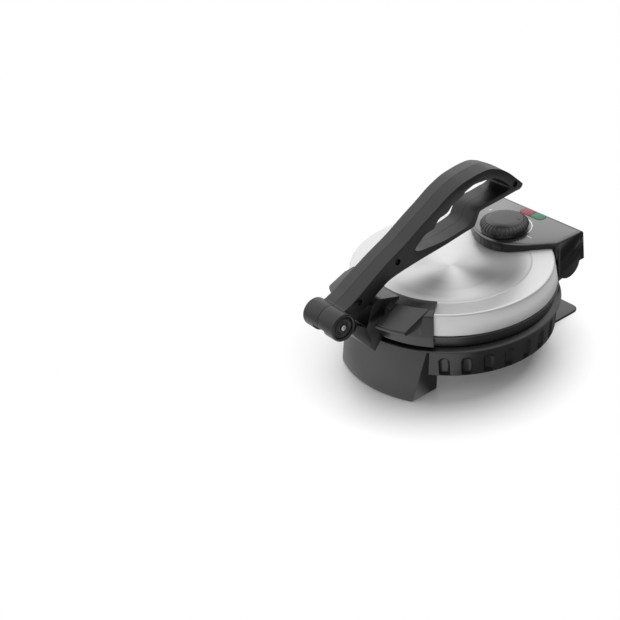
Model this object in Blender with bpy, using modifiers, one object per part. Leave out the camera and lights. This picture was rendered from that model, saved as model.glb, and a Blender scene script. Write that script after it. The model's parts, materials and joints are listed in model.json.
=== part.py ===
# Electric roti maker: a round countertop cooker with a hinged lid and a press handle.
# Metres, +Z up. The front is -Y, the lid hinge is at +Y, and x = 0 is the plane of symmetry.
# The origin is on the floor, under the middle of the object.

import math

import bmesh
import bpy
from mathutils import Matrix, Vector

for old in list(bpy.data.objects):
    bpy.data.objects.remove(old, do_unlink=True)

# Counts of flat sides on round shapes.
ROUND_STEPS = 48
PLATE_STEPS = 32
SMALL_STEPS = 14
SCREW_STEPS = 8
TUBE_STEPS = 20

# A small turn of every rod, so that its flat sides never line up with its neighbours'.
facet_turn = math.radians(5)

# Clearances.
seat_gap = 0.0003
slide_gap = 0.0004
hinge_gap = 0.0006
overrun = 0.004
weld_distance = 0.00001

# Hotplates.
plate_radius = 0.1015
plate_thickness = 0.006
plate_edge = 0.0015
plates_apart = 0.0006
stud_radius = 0.0045
stud_inside_plate = 0.0175
stud_count = 3
element_inside_plate = 0.0395
element_radius = 0.00325
element_end_angle = math.radians(10)
element_bend = 0.006
pan_thickness = 0.001
pan_depth = 0.0113
pan_taper = 0.0045

# Base.
foot_pad_height = 0.0023
ground_gap = 0.0008
skirt_bottom_z = 0.027
skirt_height = 0.0315
skirt_taper = 0.002
skirt_wall = 0.0044
rim_height = 0.0047
rim_overhang = 0.0042
rim_lip = 0.0010
rim_bevel = 0.0008
ledge_thickness = 0.0025
flute_pitch = math.radians(12)
flute_width = 0.0110
flute_depth = 0.0026
flute_top_below_rim = 0.0085
flute_first_angle = math.radians(42)
flute_last_angle = math.radians(162)

# Lid ring, lid and their vertical stack.
plate_air_gap = 0.0027
ledge_width = 0.0064
collar_thickness = 0.0024
collar_height = 0.0039
ring_height = 0.0137
ring_taper = 0.0030
ring_proud = 0.0012
lid_gap = 0.0007
shell_thickness = 0.0008
shell_wall_height = 0.0242
shell_wall_taper = 0.0032
shell_edge = 0.0014
shell_band_width = 0.0238
shell_band_drop = 0.0008
shell_dish_drop = 0.0050
shell_dish_inside_plate = 0.0415

# Front apron, a front foot that stands out of the skirt.
apron_flare = 0.0118
apron_top_half_width = 0.0655
apron_foot_half_width = 0.0588
apron_wall = 0.0030
apron_back_inside_plate = 0.0135
foot_post_radius = 0.0070
foot_post_height = 0.0150
foot_pad_radius = 0.0055

# Rear foot, a plate on two webs.
rear_foot_half_width = 0.061
rear_foot_beyond_plate = 0.0395
rear_foot_front_inside_plate = 0.0395
rear_foot_thickness = 0.0032
rear_foot_corner = 0.008
web_offset = 0.042
web_thickness = 0.0030
web_back_inside_plate = 0.0015

# Bottom cover and its screws.
cover_thickness = 0.0020
cover_boss_radius = 0.0045
cover_boss_bite = 0.0011
cover_boss_height = 0.0140
vent_count = 7
vent_width = 0.0030
vent_length = 0.030
vent_pitch = 0.0085
vent_offset = 0.042

# Screws.
screw_radius = 0.0015
screw_head_radius = 0.0030
screw_head_height = 0.0016
screw_length = 0.0105
screw_short_length = 0.0056
arm_screw_length = 0.0170

# Lid hinge.
hinge_beyond_plate = 0.0145
hinge_z = 0.075
knuckle_radius = 0.0175
lug_inside_cheek = 0.0140
lug_width = 0.008
lug_eye_radius = 0.0080
lug_foot_z = 0.046
lug_stem_front_beyond_plate = 0.0075
lug_stem_back_beyond_plate = 0.0175
hinge_pin_radius = 0.0030
cheek_skin = 0.0020

# Control housing and panel.
housing_half_width = 0.066
cheek_thickness = 0.0060
housing_top_z = 0.1095
housing_arc_radius = 0.060
housing_arc_beyond_plate = 0.0114
housing_arc_half_angle = math.radians(50)
housing_wall = 0.0025
housing_roof = 0.0019
housing_edge = 0.0016
housing_rear_beyond_plate = 0.0392
housing_rear_wall = 0.0047
housing_rear_lean = 0.0021
housing_corner = 0.0055
housing_step_z = 0.0722
housing_step = 0.0083
housing_under_z = 0.087
panel_border = 0.0026
panel_thickness = 0.0016
boss_radius = 0.0040

# Knob and thermostat.
knob_inside_plate = 0.0196
knob_skirt_radius = 0.0303
knob_skirt_height = 0.0058
knob_radius = 0.0268
knob_height = 0.0160
knob_shoulder = 0.0022
knob_draft = 0.0014
knob_groove_count = 30
knob_groove_radius = 0.0009
knob_wall = 0.0030
shaft_radius = 0.0030
shaft_collar = 0.0090
thermostat_width = 0.026
thermostat_depth = 0.018
thermostat_height = 0.008
sensor_radius = 0.004

# Indicator lenses and lamps.
lens_beyond_plate = 0.0260
lens_length = 0.0350
lens_width = 0.0130
lens_proud = 0.0005
lens_wall = 0.0012
lens_flange = 0.0015
lens_flange_thickness = 0.0012
lens_depth = 0.0095
lamp_radius = 0.0028
lamp_base_height = 0.0025

# Handle. The outline runs from the barrel back to the tip, as shares of reach and rise.
pivot_beyond_plate = 0.0706
pivot_z = 0.1049
barrel_radius = 0.0155
barrel_half_length = 0.0248
barrel_end_round = 0.0020
barrel_cap_radius = 0.0118
barrel_cap_depth = 0.0030
barrel_cap_thickness = 0.0012
sleeve_radius = 0.0108
slot_half_width = 0.0095
slot_rear_angle = math.radians(-11)
slot_front_angle = math.radians(-168)
pivot_pin_radius = 0.0030
pin_head_radius = 0.0045
pin_head_height = 0.0010
handle_reach = 0.266
handle_rise = 0.100
handle_half_width = 0.0170
handle_root_widening = 0.0018
handle_waist_narrowing = 0.0013
handle_edge = 0.0022
half_gap = 0.00015
pocket_wall = 0.0032
pocket_skin = 0.0030
handle_screw_radius = 0.0016
handle_screw_head = 0.0030
handle_screw_recess = 0.0030

HANDLE_TOP_SHARES = (
    (0.000, 0.125), (0.038, 0.200), (0.090, 0.260), (0.143, 0.320), (0.248, 0.450),
    (0.353, 0.570), (0.436, 0.690), (0.519, 0.800), (0.583, 0.890), (0.654, 0.960),
    (0.711, 0.986), (0.767, 0.997), (0.816, 0.990), (0.860, 0.945), (0.898, 0.880),
    (0.925, 0.820), (0.955, 0.740), (0.989, 0.650), (1.000, 0.610), (0.985, 0.570))
HANDLE_UNDER_SHARES = (
    (0.955, 0.566), (0.868, 0.550), (0.767, 0.534), (0.748, 0.500), (0.737, 0.440),
    (0.718, 0.376), (0.669, 0.360), (0.556, 0.320), (0.421, 0.285), (0.289, 0.240),
    (0.233, 0.190), (0.158, 0.082), (0.083, -0.020), (0.045, -0.060))
HOLE_TOP_SHARES = (
    (0.406, 0.435), (0.432, 0.500), (0.466, 0.560), (0.504, 0.576), (0.519, 0.620),
    (0.538, 0.665), (0.564, 0.680), (0.586, 0.700), (0.602, 0.740), (0.620, 0.770),
    (0.643, 0.790), (0.664, 0.810), (0.680, 0.840), (0.703, 0.860), (0.729, 0.876),
    (0.769, 0.870), (0.808, 0.860), (0.853, 0.825), (0.900, 0.730), (0.926, 0.650))
HOLE_UNDER_SHARES = (
    (0.902, 0.615), (0.868, 0.608), (0.823, 0.597), (0.763, 0.590), (0.733, 0.560),
    (0.716, 0.490), (0.699, 0.430), (0.658, 0.405), (0.575, 0.380), (0.492, 0.384),
    (0.430, 0.398))
POCKET_A_SHARES = ((0.150, 0.190), (0.185, 0.222), (0.240, 0.290), (0.262, 0.340),
                   (0.262, 0.410), (0.222, 0.370), (0.150, 0.275))
POCKET_B_SHARES = ((0.372, 0.340), (0.388, 0.440), (0.430, 0.545), (0.468, 0.608),
                   (0.492, 0.625), (0.520, 0.715), (0.560, 0.735), (0.583, 0.800),
                   (0.583, 0.838), (0.519, 0.752), (0.436, 0.640), (0.372, 0.545))
SCREW_PLACE_SHARES = ((0.106, 0.150), (0.313, 0.389), (0.955, 0.655))

# Front bracket: a lip over the lid, two wings, the arm and its tongue.
bracket_half_angle = math.radians(36)
bracket_wall = 0.0024
bracket_lip_inside_plate = 0.0125
bracket_lip_thickness = 0.0022
bracket_bottom_above_rim = 0.0028
wing_inner_x = 0.0275
wing_outer_x = 0.0600
wing_beyond_plate = 0.0365
wing_root_inside_plate = 0.0195
wing_root_z = 0.1046
wing_tip_z = 0.0912
wing_under_z = 0.0880
wing_start_inside_plate = 0.0005
arm_half_width = 0.0195
tongue_half_width = 0.0090
tongue_half_thickness = 0.0035
tongue_eye_radius = 0.0100
tongue_angle = math.radians(-35)
arm_clear_radius = 0.0180

# Outline of the arm: distance beyond the hotplate's edge, height above the floor.
ARM_OUTLINE = (
    ("chin_tip", 0.0290, 0.0545), ("chin_front", 0.0550, 0.0855), ("shoulder", 0.0500, 0.0963),
    ("notch", 0.0369, 0.0870), ("web_front", 0.0273, 0.1110), ("web_top", 0.0165, 0.1135),
    ("web_back", -0.0085, 0.1060), ("root_back", -0.0085, 0.1020), ("root_low", 0.0105, 0.0670),
    ("seat", 0.0174, 0.0657), ("chin_back", 0.0204, 0.0634))

# Cord gland, terminal block, fuse.
gland_z = 0.041
gland_radius = 0.0062
gland_bore = 0.0036
gland_flange_radius = 0.0085
gland_flange = 0.0018
gland_length = 0.014
block_width = 0.034
block_depth = 0.014
block_height = 0.008
fuse_radius = 0.0022
fuse_length = 0.016
fuse_offset = 0.030

# Heights, radii and places that follow from the sizes above. What lies round the hotplates
# keeps its distance from their edge.
stud_circle = plate_radius - stud_inside_plate
element_circle = plate_radius - element_inside_plate
shell_dish_radius = plate_radius - shell_dish_inside_plate
apron_back_reach = plate_radius - apron_back_inside_plate
rear_foot_reach = plate_radius + rear_foot_beyond_plate
rear_foot_front = plate_radius - rear_foot_front_inside_plate
web_back = plate_radius - web_back_inside_plate
hinge_behind_axis = plate_radius + hinge_beyond_plate
lug_stem_front_y = plate_radius + lug_stem_front_beyond_plate
lug_stem_back_y = plate_radius + lug_stem_back_beyond_plate
housing_arc_centre_y = plate_radius + housing_arc_beyond_plate
housing_rear_y = plate_radius + housing_rear_beyond_plate
housing_rear_inner_y = housing_rear_y - housing_rear_wall
knob_y = plate_radius - knob_inside_plate
lens_y = plate_radius + lens_beyond_plate
pivot_forward = plate_radius + pivot_beyond_plate
bracket_lip_inner_radius = plate_radius - bracket_lip_inside_plate
wing_reach = plate_radius + wing_beyond_plate
wing_root_y = plate_radius - wing_root_inside_plate
wing_start_y = plate_radius - wing_start_inside_plate
rim_bottom_z = skirt_bottom_z + skirt_height
rim_top_z = rim_bottom_z + rim_height
ring_bottom_z = rim_top_z + lid_gap
ring_shoulder_z = ring_bottom_z + ring_height
shell_bottom_z = ring_shoulder_z + slide_gap
shell_top_z = shell_bottom_z + shell_wall_height
ring_inner_radius = plate_radius + plate_air_gap
ledge_radius = ring_inner_radius + ledge_width
collar_radius = ledge_radius + collar_thickness
shell_foot_radius = collar_radius + hinge_gap + hinge_gap + shell_thickness
ring_radius = shell_foot_radius + ring_proud
skirt_radius = shell_foot_radius
rim_radius = skirt_radius + rim_overhang
skirt_foot_radius = skirt_radius - skirt_taper
cover_boss_circle = skirt_foot_radius - skirt_wall - cover_boss_radius + cover_boss_bite
lower_plate_top_z = rim_top_z + lid_gap + plate_edge + plates_apart
lower_plate_z = lower_plate_top_z - plate_thickness
upper_plate_z = lower_plate_top_z + plates_apart
upper_plate_top_z = upper_plate_z + plate_thickness
ledge_z = rim_bottom_z - rim_bevel
pan_flange_z = ledge_z + seat_gap
pan_floor_z = pan_flange_z - pan_depth
ring_ledge_z = upper_plate_top_z - hinge_gap
pan_roof_z = ring_ledge_z + seat_gap + pan_depth
cover_z = skirt_bottom_z + seat_gap
cover_top_z = cover_z + cover_thickness
panel_top_z = housing_top_z
panel_z = panel_top_z - panel_thickness
roof_top_z = panel_z - seat_gap
roof_z = roof_top_z - housing_roof
knob_z = panel_top_z + seat_gap
pivot_y = -pivot_forward
front_reach = pivot_forward + barrel_radius
lid_axis_y = (front_reach - rear_foot_reach) / 2
cheek_inner_x = housing_half_width - cheek_thickness
lug_inner_x = cheek_inner_x - lug_inside_cheek
lug_outer_x = lug_inner_x + lug_width
skirt_middle_radius = skirt_foot_radius - skirt_wall / 2
lug_front_y = math.sqrt(skirt_middle_radius ** 2 - lug_outer_x ** 2)

parts = bpy.data.collections.new("electric_roti_maker")
cutters = bpy.data.collections.new("cutters")
bpy.context.scene.collection.children.link(parts)
bpy.context.scene.collection.children.link(cutters)


# Places, finishes and shading.
def at(x, y, z):
    """World place of a point whose y is measured from the lid's vertical axis."""
    return Vector((x, lid_axis_y + y, z))


def shade(piece, angle=math.radians(35)):
    piece.data.shade_smooth()
    piece.data.set_sharp_from_angle(angle=angle)


def finish(piece, colour, roughness, metallic=0.0):
    material = bpy.data.materials.new(piece.name + "_finish")
    material.use_nodes = True
    surface = material.node_tree.nodes["Principled BSDF"]
    surface.inputs["Base Color"].default_value = (*colour, 1.0)
    surface.inputs["Roughness"].default_value = roughness
    surface.inputs["Metallic"].default_value = metallic
    piece.data.materials.clear()
    piece.data.materials.append(material)
    return piece


GLOSS_BLACK = ((0.012, 0.012, 0.013), 0.22)
SATIN_BLACK = ((0.035, 0.035, 0.037), 0.45)
STAINLESS = ((0.62, 0.62, 0.63), 0.25, 1.0)
CAST_ALUMINIUM = ((0.33, 0.33, 0.34), 0.5, 1.0)
COATED_PLATE = ((0.03, 0.03, 0.03), 0.55)
STEEL = ((0.55, 0.56, 0.58), 0.35, 1.0)
RUBBER = ((0.02, 0.02, 0.02), 0.85)
CERAMIC = ((0.75, 0.72, 0.66), 0.6)
RED_LENS = ((0.50, 0.05, 0.07), 0.2)
GREEN_LENS = ((0.03, 0.32, 0.18), 0.2)
LAMP_GLASS = ((0.80, 0.78, 0.70), 0.15)


# Basic shapes. Each returns an object in the parts collection.
def place(name, mesh, location=(0, 0, 0), rotation=(0, 0, 0)):
    piece = bpy.data.objects.new(name, mesh)
    piece.location = location
    piece.rotation_euler = rotation
    parts.objects.link(piece)
    return piece


def box(name, size, centre):
    mesh = bpy.data.meshes.new(name)
    shape = bmesh.new()
    bmesh.ops.create_cube(shape, size=1.0, matrix=Matrix.Diagonal((*size, 1.0)))
    shape.to_mesh(mesh)
    shape.free()
    return place(name, mesh, centre)


def rod(name, radius, length, centre, rotation=(0, 0, 0), steps=SMALL_STEPS, end_radius=None):
    mesh = bpy.data.meshes.new(name)
    shape = bmesh.new()
    far_radius = radius if end_radius is None else end_radius
    bmesh.ops.create_cone(shape, cap_ends=True, segments=steps, radius1=radius,
                          radius2=far_radius, depth=length,
                          matrix=Matrix.Rotation(facet_turn, 4, "Z"))
    shape.to_mesh(mesh)
    shape.free()
    piece = place(name, mesh, centre, rotation)
    shade(piece)
    return piece


ALONG_X = (0, math.pi / 2, 0)
ALONG_Y = (math.pi / 2, 0, 0)


def turned(name, profile, location, steps=ROUND_STEPS, closed=True, rotation=(0, 0, 0)):
    """Turn a profile of (radius, height) points, which runs down its outer side, about Z."""
    mesh = bpy.data.meshes.new(name)
    edges = [(i, i + 1) for i in range(len(profile) - 1)]
    if closed:
        edges.append((len(profile) - 1, 0))
    mesh.from_pydata([(radius, 0, height) for radius, height in profile], edges, [])
    piece = place(name, mesh, location, rotation)
    screw = piece.modifiers.new("turn", "SCREW")
    screw.steps = steps
    screw.render_steps = steps
    screw.use_merge_vertices = True
    screw.merge_threshold = weld_distance
    screw.use_smooth_shade = True
    return piece


def extruded(name, outlines, thickness, location, rotation=(0, 0, 0), bevel=0, segments=1):
    """A flat outline, with any holes in it, made a solid of this thickness."""
    curve = bpy.data.curves.new(name, "CURVE")
    curve.dimensions = "2D"
    curve.fill_mode = "BOTH"
    curve.extrude = thickness / 2
    for outline in outlines:
        spline = curve.splines.new("POLY")
        spline.points.add(len(outline) - 1)
        for point, (across, up) in zip(spline.points, outline):
            point.co = (across, up, 0, 1)
        spline.use_cyclic_u = True
    flat = place(name + "_outline", curve)
    bpy.context.view_layer.update()
    evaluated = flat.evaluated_get(bpy.context.evaluated_depsgraph_get())
    mesh = bpy.data.meshes.new_from_object(evaluated)
    bpy.data.objects.remove(flat, do_unlink=True)
    shape = bmesh.new()
    shape.from_mesh(mesh)
    bmesh.ops.remove_doubles(shape, verts=shape.verts, dist=weld_distance)
    bmesh.ops.dissolve_limit(shape, angle_limit=math.radians(0.1), verts=shape.verts,
                             edges=shape.edges)
    bmesh.ops.recalc_face_normals(shape, faces=shape.faces)
    shape.to_mesh(mesh)
    shape.free()
    mesh.name = name
    piece = place(name, mesh, location, rotation)
    if bevel:
        round_edges(piece, bevel, segments)
    return piece


# A side view: the outline's first number runs along +Y and its second along +Z.
SIDE_VIEW = (math.pi / 2, 0, math.pi / 2)


def round_edges(piece, width, segments=2, angle=math.radians(50)):
    bevel = piece.modifiers.new("edges", "BEVEL")
    bevel.width = width
    bevel.segments = segments
    bevel.limit_method = "ANGLE"
    bevel.angle_limit = angle
    bevel.harden_normals = False


def round_outer_side(piece, side, width, segments=2):
    """Round only the rim of the flat face that lies towards local +Z or -Z."""
    shape = bmesh.new()
    shape.from_mesh(piece.data)
    weight = shape.edges.layers.float.new("bevel_weight_edge")
    for edge in shape.edges:
        outer = all(vert.co.z * side > 0 for vert in edge.verts)
        if outer and edge.calc_face_angle() > math.radians(50):
            edge[weight] = 1.0
    shape.to_mesh(piece.data)
    shape.free()
    bevel = piece.modifiers.new("outer_rim", "BEVEL")
    bevel.width = width
    bevel.segments = segments
    bevel.limit_method = "WEIGHT"


def combine(piece, tool, operation):
    """Cut, join or intersect a piece with a tool, which moves to the cutters' collection."""
    change = piece.modifiers.new(tool.name, "BOOLEAN")
    change.operation = operation
    change.object = tool
    if tool.name in parts.objects:
        parts.objects.unlink(tool)
        cutters.objects.link(tool)
    tool.hide_render = True
    tool.display_type = "WIRE"


def cut(piece, tool):
    combine(piece, tool, "DIFFERENCE")


def join(piece, tool):
    combine(piece, tool, "UNION")


def keep_common(piece, tool):
    combine(piece, tool, "INTERSECT")


def turned_point(angle, radius):
    """A point at this angle from the front, -Y, towards +X."""
    return radius * math.sin(angle), -radius * math.cos(angle)


def arc(centre, radius, start, end, count):
    step = (end - start) / count
    return [(centre[0] + radius * math.cos(start + step * i),
             centre[1] + radius * math.sin(start + step * i)) for i in range(count + 1)]


def interpolate(table, place_along):
    for (before, low), (after, high) in zip(table, table[1:]):
        if before <= place_along <= after:
            share = (place_along - before) / (after - before)
            return low + share * (high - low)
    return table[0][1] if place_along < table[0][0] else table[-1][1]


# Fasteners.
def screw(name, place_at, rotation, length=screw_length):
    """A screw whose head rests at its place and whose shank runs along local +Z."""
    profile = [(0, length), (screw_radius, length), (screw_radius, 0), (screw_head_radius, 0),
               (screw_head_radius, -screw_head_height), (0, -screw_head_height)]
    piece = turned(name, profile, place_at, SCREW_STEPS, False, rotation)
    return finish(piece, *STEEL)


UP = (0, 0, 0)
DOWN = (math.pi, 0, 0)
FORWARD = (math.pi / 2, 0, 0)
LEFTWARD = (0, -math.pi / 2, 0)


# Base.
def skirt_profile():
    wall_foot = skirt_foot_radius - skirt_wall
    wall_top = ledge_radius - slide_gap
    return [
        (ledge_radius + rim_lip, rim_top_z - seat_gap),
        (ledge_radius + rim_lip + rim_bevel, rim_top_z),
        (rim_radius - rim_bevel, rim_top_z - rim_height * 0.55),
        (rim_radius, rim_top_z - rim_height * 0.7),
        (rim_radius, rim_bottom_z + rim_bevel / 2),
        (skirt_radius, rim_bottom_z),
        (skirt_foot_radius, skirt_bottom_z),
        (wall_foot, skirt_bottom_z),
        (wall_top, ledge_z - ledge_thickness),
        (ring_inner_radius, ledge_z - ledge_thickness),
        (ring_inner_radius, ledge_z),
        (ledge_radius + slide_gap, ledge_z),
    ]


def flute_cutter():
    """Upright grooves round the skirt, each a long capsule that leaves at the bottom."""
    mesh = bpy.data.meshes.new("flute_cutter")
    shape = bmesh.new()
    top_z = rim_bottom_z - flute_top_below_rim
    centre_z = top_z - flute_width / 2
    count = round((flute_last_angle - flute_first_angle) / flute_pitch)
    for side in (-1, 1):
        for index in range(count + 1):
            angle = side * (flute_first_angle + index * flute_pitch)
            x, y = turned_point(angle, skirt_radius - skirt_taper / 2)
            size = Matrix.Diagonal((flute_depth, flute_width / 2, flute_width / 2, 1.0))
            turn = Matrix.Rotation(angle - math.pi / 2, 4, "Z")
            made = bmesh.ops.create_uvsphere(shape, u_segments=8, v_segments=4, radius=1.0,
                                             matrix=turn @ size)
            for vert in made["verts"]:
                if vert.co.z < -weld_distance:
                    vert.co.z -= centre_z
                vert.co += Vector((x, y, centre_z))
    shape.to_mesh(mesh)
    shape.free()
    return place("flute_cutter", mesh, at(0, 0, 0))


def apron():
    """The front foot: a flared wall with flat sides, open below and behind."""
    top_z = rim_bottom_z + rim_bevel / 2
    flare = apron_flare / (top_z - ground_gap)

    def cone(name, inset, low_z, high_z):
        low_radius = rim_radius + flare * (top_z - low_z) - inset - rim_bevel / 2
        high_radius = rim_radius + flare * (top_z - high_z) - inset - rim_bevel / 2
        return rod(name, low_radius, high_z - low_z, at(0, 0, (low_z + high_z) / 2),
                   steps=ROUND_STEPS, end_radius=high_radius)

    def sides(name, inset, low_z, high_z, back):
        lean = (apron_top_half_width - apron_foot_half_width) / (top_z - ground_gap)
        low_x = apron_foot_half_width + lean * (low_z - ground_gap) - inset
        high_x = apron_foot_half_width + lean * (high_z - ground_gap) - inset
        outline = [(-low_x, low_z), (low_x, low_z), (high_x, high_z), (-high_x, high_z)]
        depth = rim_radius + apron_flare + overrun - back
        centre = at(0, -back - depth / 2, 0)
        return extruded(name, [outline], depth, centre, ALONG_Y)

    body = cone("apron", 0, ground_gap, top_z)
    keep_common(body, sides("apron_sides", 0, ground_gap - overrun, top_z + overrun,
                            apron_back_reach))
    room_top = top_z - apron_wall
    room = cone("apron_room", apron_wall, -overrun, room_top)
    keep_common(room, sides("apron_room_sides", apron_wall, -overrun * 2, room_top + overrun,
                            apron_back_reach - overrun))
    cut(body, room)
    inside = rod("apron_inside", skirt_radius - skirt_wall / 2 - skirt_taper,
                 top_z, at(0, 0, skirt_bottom_z - hinge_gap + top_z / 2), steps=ROUND_STEPS)
    cut(body, inside)
    return body


FRONT_FOOT_X = apron_foot_half_width - apron_wall - foot_post_radius * 0.6
FRONT_FOOT_Y = -(apron_back_reach + foot_post_radius + apron_wall * 2)
REAR_FOOT_X = rear_foot_half_width - rear_foot_corner - foot_pad_radius / 2
REAR_FOOT_Y = rear_foot_reach - rear_foot_corner - foot_pad_radius / 2


def foot_recess(name, x, y):
    top = foot_pad_height + seat_gap
    return rod(name, foot_pad_radius + seat_gap, top + overrun,
               at(x, y, (top - overrun) / 2), steps=SMALL_STEPS)


def hinge_lug(side):
    """One of the two eyes that stand up from the back of the base and hold the lid's pins."""
    eye = arc((hinge_behind_axis, hinge_z), lug_eye_radius, math.radians(-40),
              math.radians(215), 12)
    outline = [(lug_front_y, lug_foot_z), (lug_stem_back_y, lug_foot_z + overrun)]
    outline += eye
    outline += [(lug_stem_front_y, rim_top_z - rim_bevel), (lug_front_y, ledge_z - ledge_thickness)]
    centre_x = side * (lug_inner_x + lug_width / 2)
    lug = extruded("hinge_lug", [outline], lug_width, at(centre_x, 0, 0), SIDE_VIEW)
    hole = rod("lug_hole", hinge_pin_radius + seat_gap, lug_width * 2,
               at(centre_x, hinge_behind_axis, hinge_z), ALONG_X)
    return lug, hole


COVER_SCREW_ANGLES = [math.radians(angle) for angle in (62, 122, 238, 298)]


def base_housing():
    housing = turned("base_housing", skirt_profile(), at(0, 0, 0))
    cut(housing, flute_cutter())
    join(housing, apron())
    post_top = ground_gap + foot_post_height
    for side in (-1, 1):
        post = rod("foot_post", foot_post_radius, foot_post_height,
                   at(side * FRONT_FOOT_X, FRONT_FOOT_Y, (ground_gap + post_top) / 2))
        join(housing, post)
        cut(housing, foot_recess("foot_recess", side * FRONT_FOOT_X, FRONT_FOOT_Y))
        lug, hole = hinge_lug(side)
        join(housing, lug)
        cut(housing, hole)
    boss_z = cover_top_z + seat_gap
    boss_middle = boss_z + cover_boss_height / 2
    for angle in COVER_SCREW_ANGLES:
        x, y = turned_point(angle, cover_boss_circle)
        join(housing, rod("cover_boss", cover_boss_radius, cover_boss_height,
                          at(x, y, boss_middle), steps=SCREW_STEPS))
        cut(housing, rod("cover_boss_hole", screw_radius + seat_gap, screw_length * 2,
                         at(x, y, boss_z), steps=SCREW_STEPS))
    gland_hole = rod("gland_hole", gland_radius + seat_gap, skirt_radius / 2,
                     at(0, skirt_radius, gland_z), ALONG_Y)
    cut(housing, gland_hole)
    return finish(housing, *SATIN_BLACK)


def foot_pad(name, x, y):
    pad = rod(name, foot_pad_radius, foot_pad_height, at(x, y, foot_pad_height / 2))
    return finish(pad, *RUBBER)


def rear_foot():
    half = rear_foot_half_width
    corner = rear_foot_corner
    outline = [(-half, rear_foot_front), (half, rear_foot_front)]
    outline += arc((half - corner, rear_foot_reach - corner), corner, 0, math.pi / 2, 5)
    outline += arc((corner - half, rear_foot_reach - corner), corner, math.pi / 2, math.pi, 5)
    plate_top = ground_gap + rear_foot_thickness
    foot = extruded("rear_foot", [outline], rear_foot_thickness,
                    at(0, 0, (ground_gap + plate_top) / 2))
    web_top = cover_z - seat_gap
    web_height = web_top - ground_gap - rear_foot_thickness / 2
    web_centre_z = web_top - web_height / 2
    web_centre_y = (rear_foot_front + web_back) / 2
    for side in (-1, 1):
        join(foot, box("foot_web", (web_thickness, web_back - rear_foot_front - web_thickness,
                                    web_height), at(side * web_offset, web_centre_y,
                                                    web_centre_z)))
        join(foot, rod("foot_boss", cover_boss_radius, web_height,
                       at(side * web_offset, web_centre_y, web_centre_z),
                       steps=SCREW_STEPS))
        cut(foot, rod("foot_boss_hole", screw_radius + seat_gap, screw_length * 2,
                      at(side * web_offset, web_centre_y, web_top), steps=SCREW_STEPS))
        cut(foot, foot_recess("rear_recess", side * REAR_FOOT_X, REAR_FOOT_Y))
    join(foot, box("cross_web", (web_offset * 2, web_thickness, web_height),
                   at(0, web_back - web_thickness, web_centre_z)))
    finish(foot, *SATIN_BLACK)
    return web_centre_y


def bottom_cover(foot_screw_y):
    radius = skirt_foot_radius - skirt_wall - slide_gap
    cover = turned("bottom_cover", [(0, cover_top_z), (radius, cover_top_z),
                                    (radius, cover_z), (0, cover_z)], at(0, 0, 0),
                   PLATE_STEPS, False)
    mesh = bpy.data.meshes.new("vents")
    shape = bmesh.new()
    size = Matrix.Diagonal((vent_width, vent_length, overrun * 2, 1.0))
    first = -(vent_count - 1) / 2
    for side in (-1, 1):
        for index in range(vent_count):
            x = (first + index) * vent_pitch
            move = Matrix.Translation((x, side * vent_offset, cover_z))
            bmesh.ops.create_cube(shape, size=1.0, matrix=move @ size)
    shape.to_mesh(mesh)
    shape.free()
    cut(cover, place("vents", mesh, at(0, -vent_offset / 3, 0)))
    hole = screw_radius + slide_gap
    for angle in COVER_SCREW_ANGLES:
        x, y = turned_point(angle, cover_boss_circle)
        cut(cover, rod("cover_hole", hole, overrun * 2, at(x, y, cover_z),
                       steps=SCREW_STEPS))
    for side in (-1, 1):
        cut(cover, rod("foot_screw_hole", hole, overrun * 2,
                       at(side * web_offset, foot_screw_y, cover_z), steps=SCREW_STEPS))
    return finish(cover, *STEEL)


STUD_ANGLES = [2 * math.pi * index / stud_count for index in range(stud_count)]


def hotplate(name, low_z, face_up):
    """A cast plate with studs on its back. Its cooking face is up or down."""
    high_z = low_z + plate_thickness
    edge = plate_edge
    profile = [(0, high_z), (plate_radius - edge, high_z), (plate_radius, high_z - edge),
               (plate_radius, low_z + edge), (plate_radius - edge, low_z), (0, low_z)]
    plate = turned(name, profile, at(0, 0, 0), PLATE_STEPS, False)
    if face_up:
        stud_end = pan_floor_z + seat_gap
        stud_root = low_z + edge
        screw_turn = UP
        head_z = pan_floor_z - pan_thickness - seat_gap / 3
    else:
        stud_end = pan_roof_z - seat_gap
        stud_root = high_z - edge
        screw_turn = DOWN
        head_z = pan_roof_z + pan_thickness + seat_gap / 3
    for number, angle in enumerate(STUD_ANGLES):
        x, y = turned_point(angle, stud_circle)
        middle = at(x, y, (stud_end + stud_root) / 2)
        join(plate, rod("stud", stud_radius, abs(stud_end - stud_root), middle,
                        steps=SCREW_STEPS))
        cut(plate, rod("stud_hole", screw_radius + seat_gap, screw_length * 2,
                       at(x, y, stud_end), steps=SCREW_STEPS))
        screw(name + "_screw_" + str(number + 1), at(x, y, head_z), screw_turn)
    return finish(plate, *COATED_PLATE)


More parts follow.
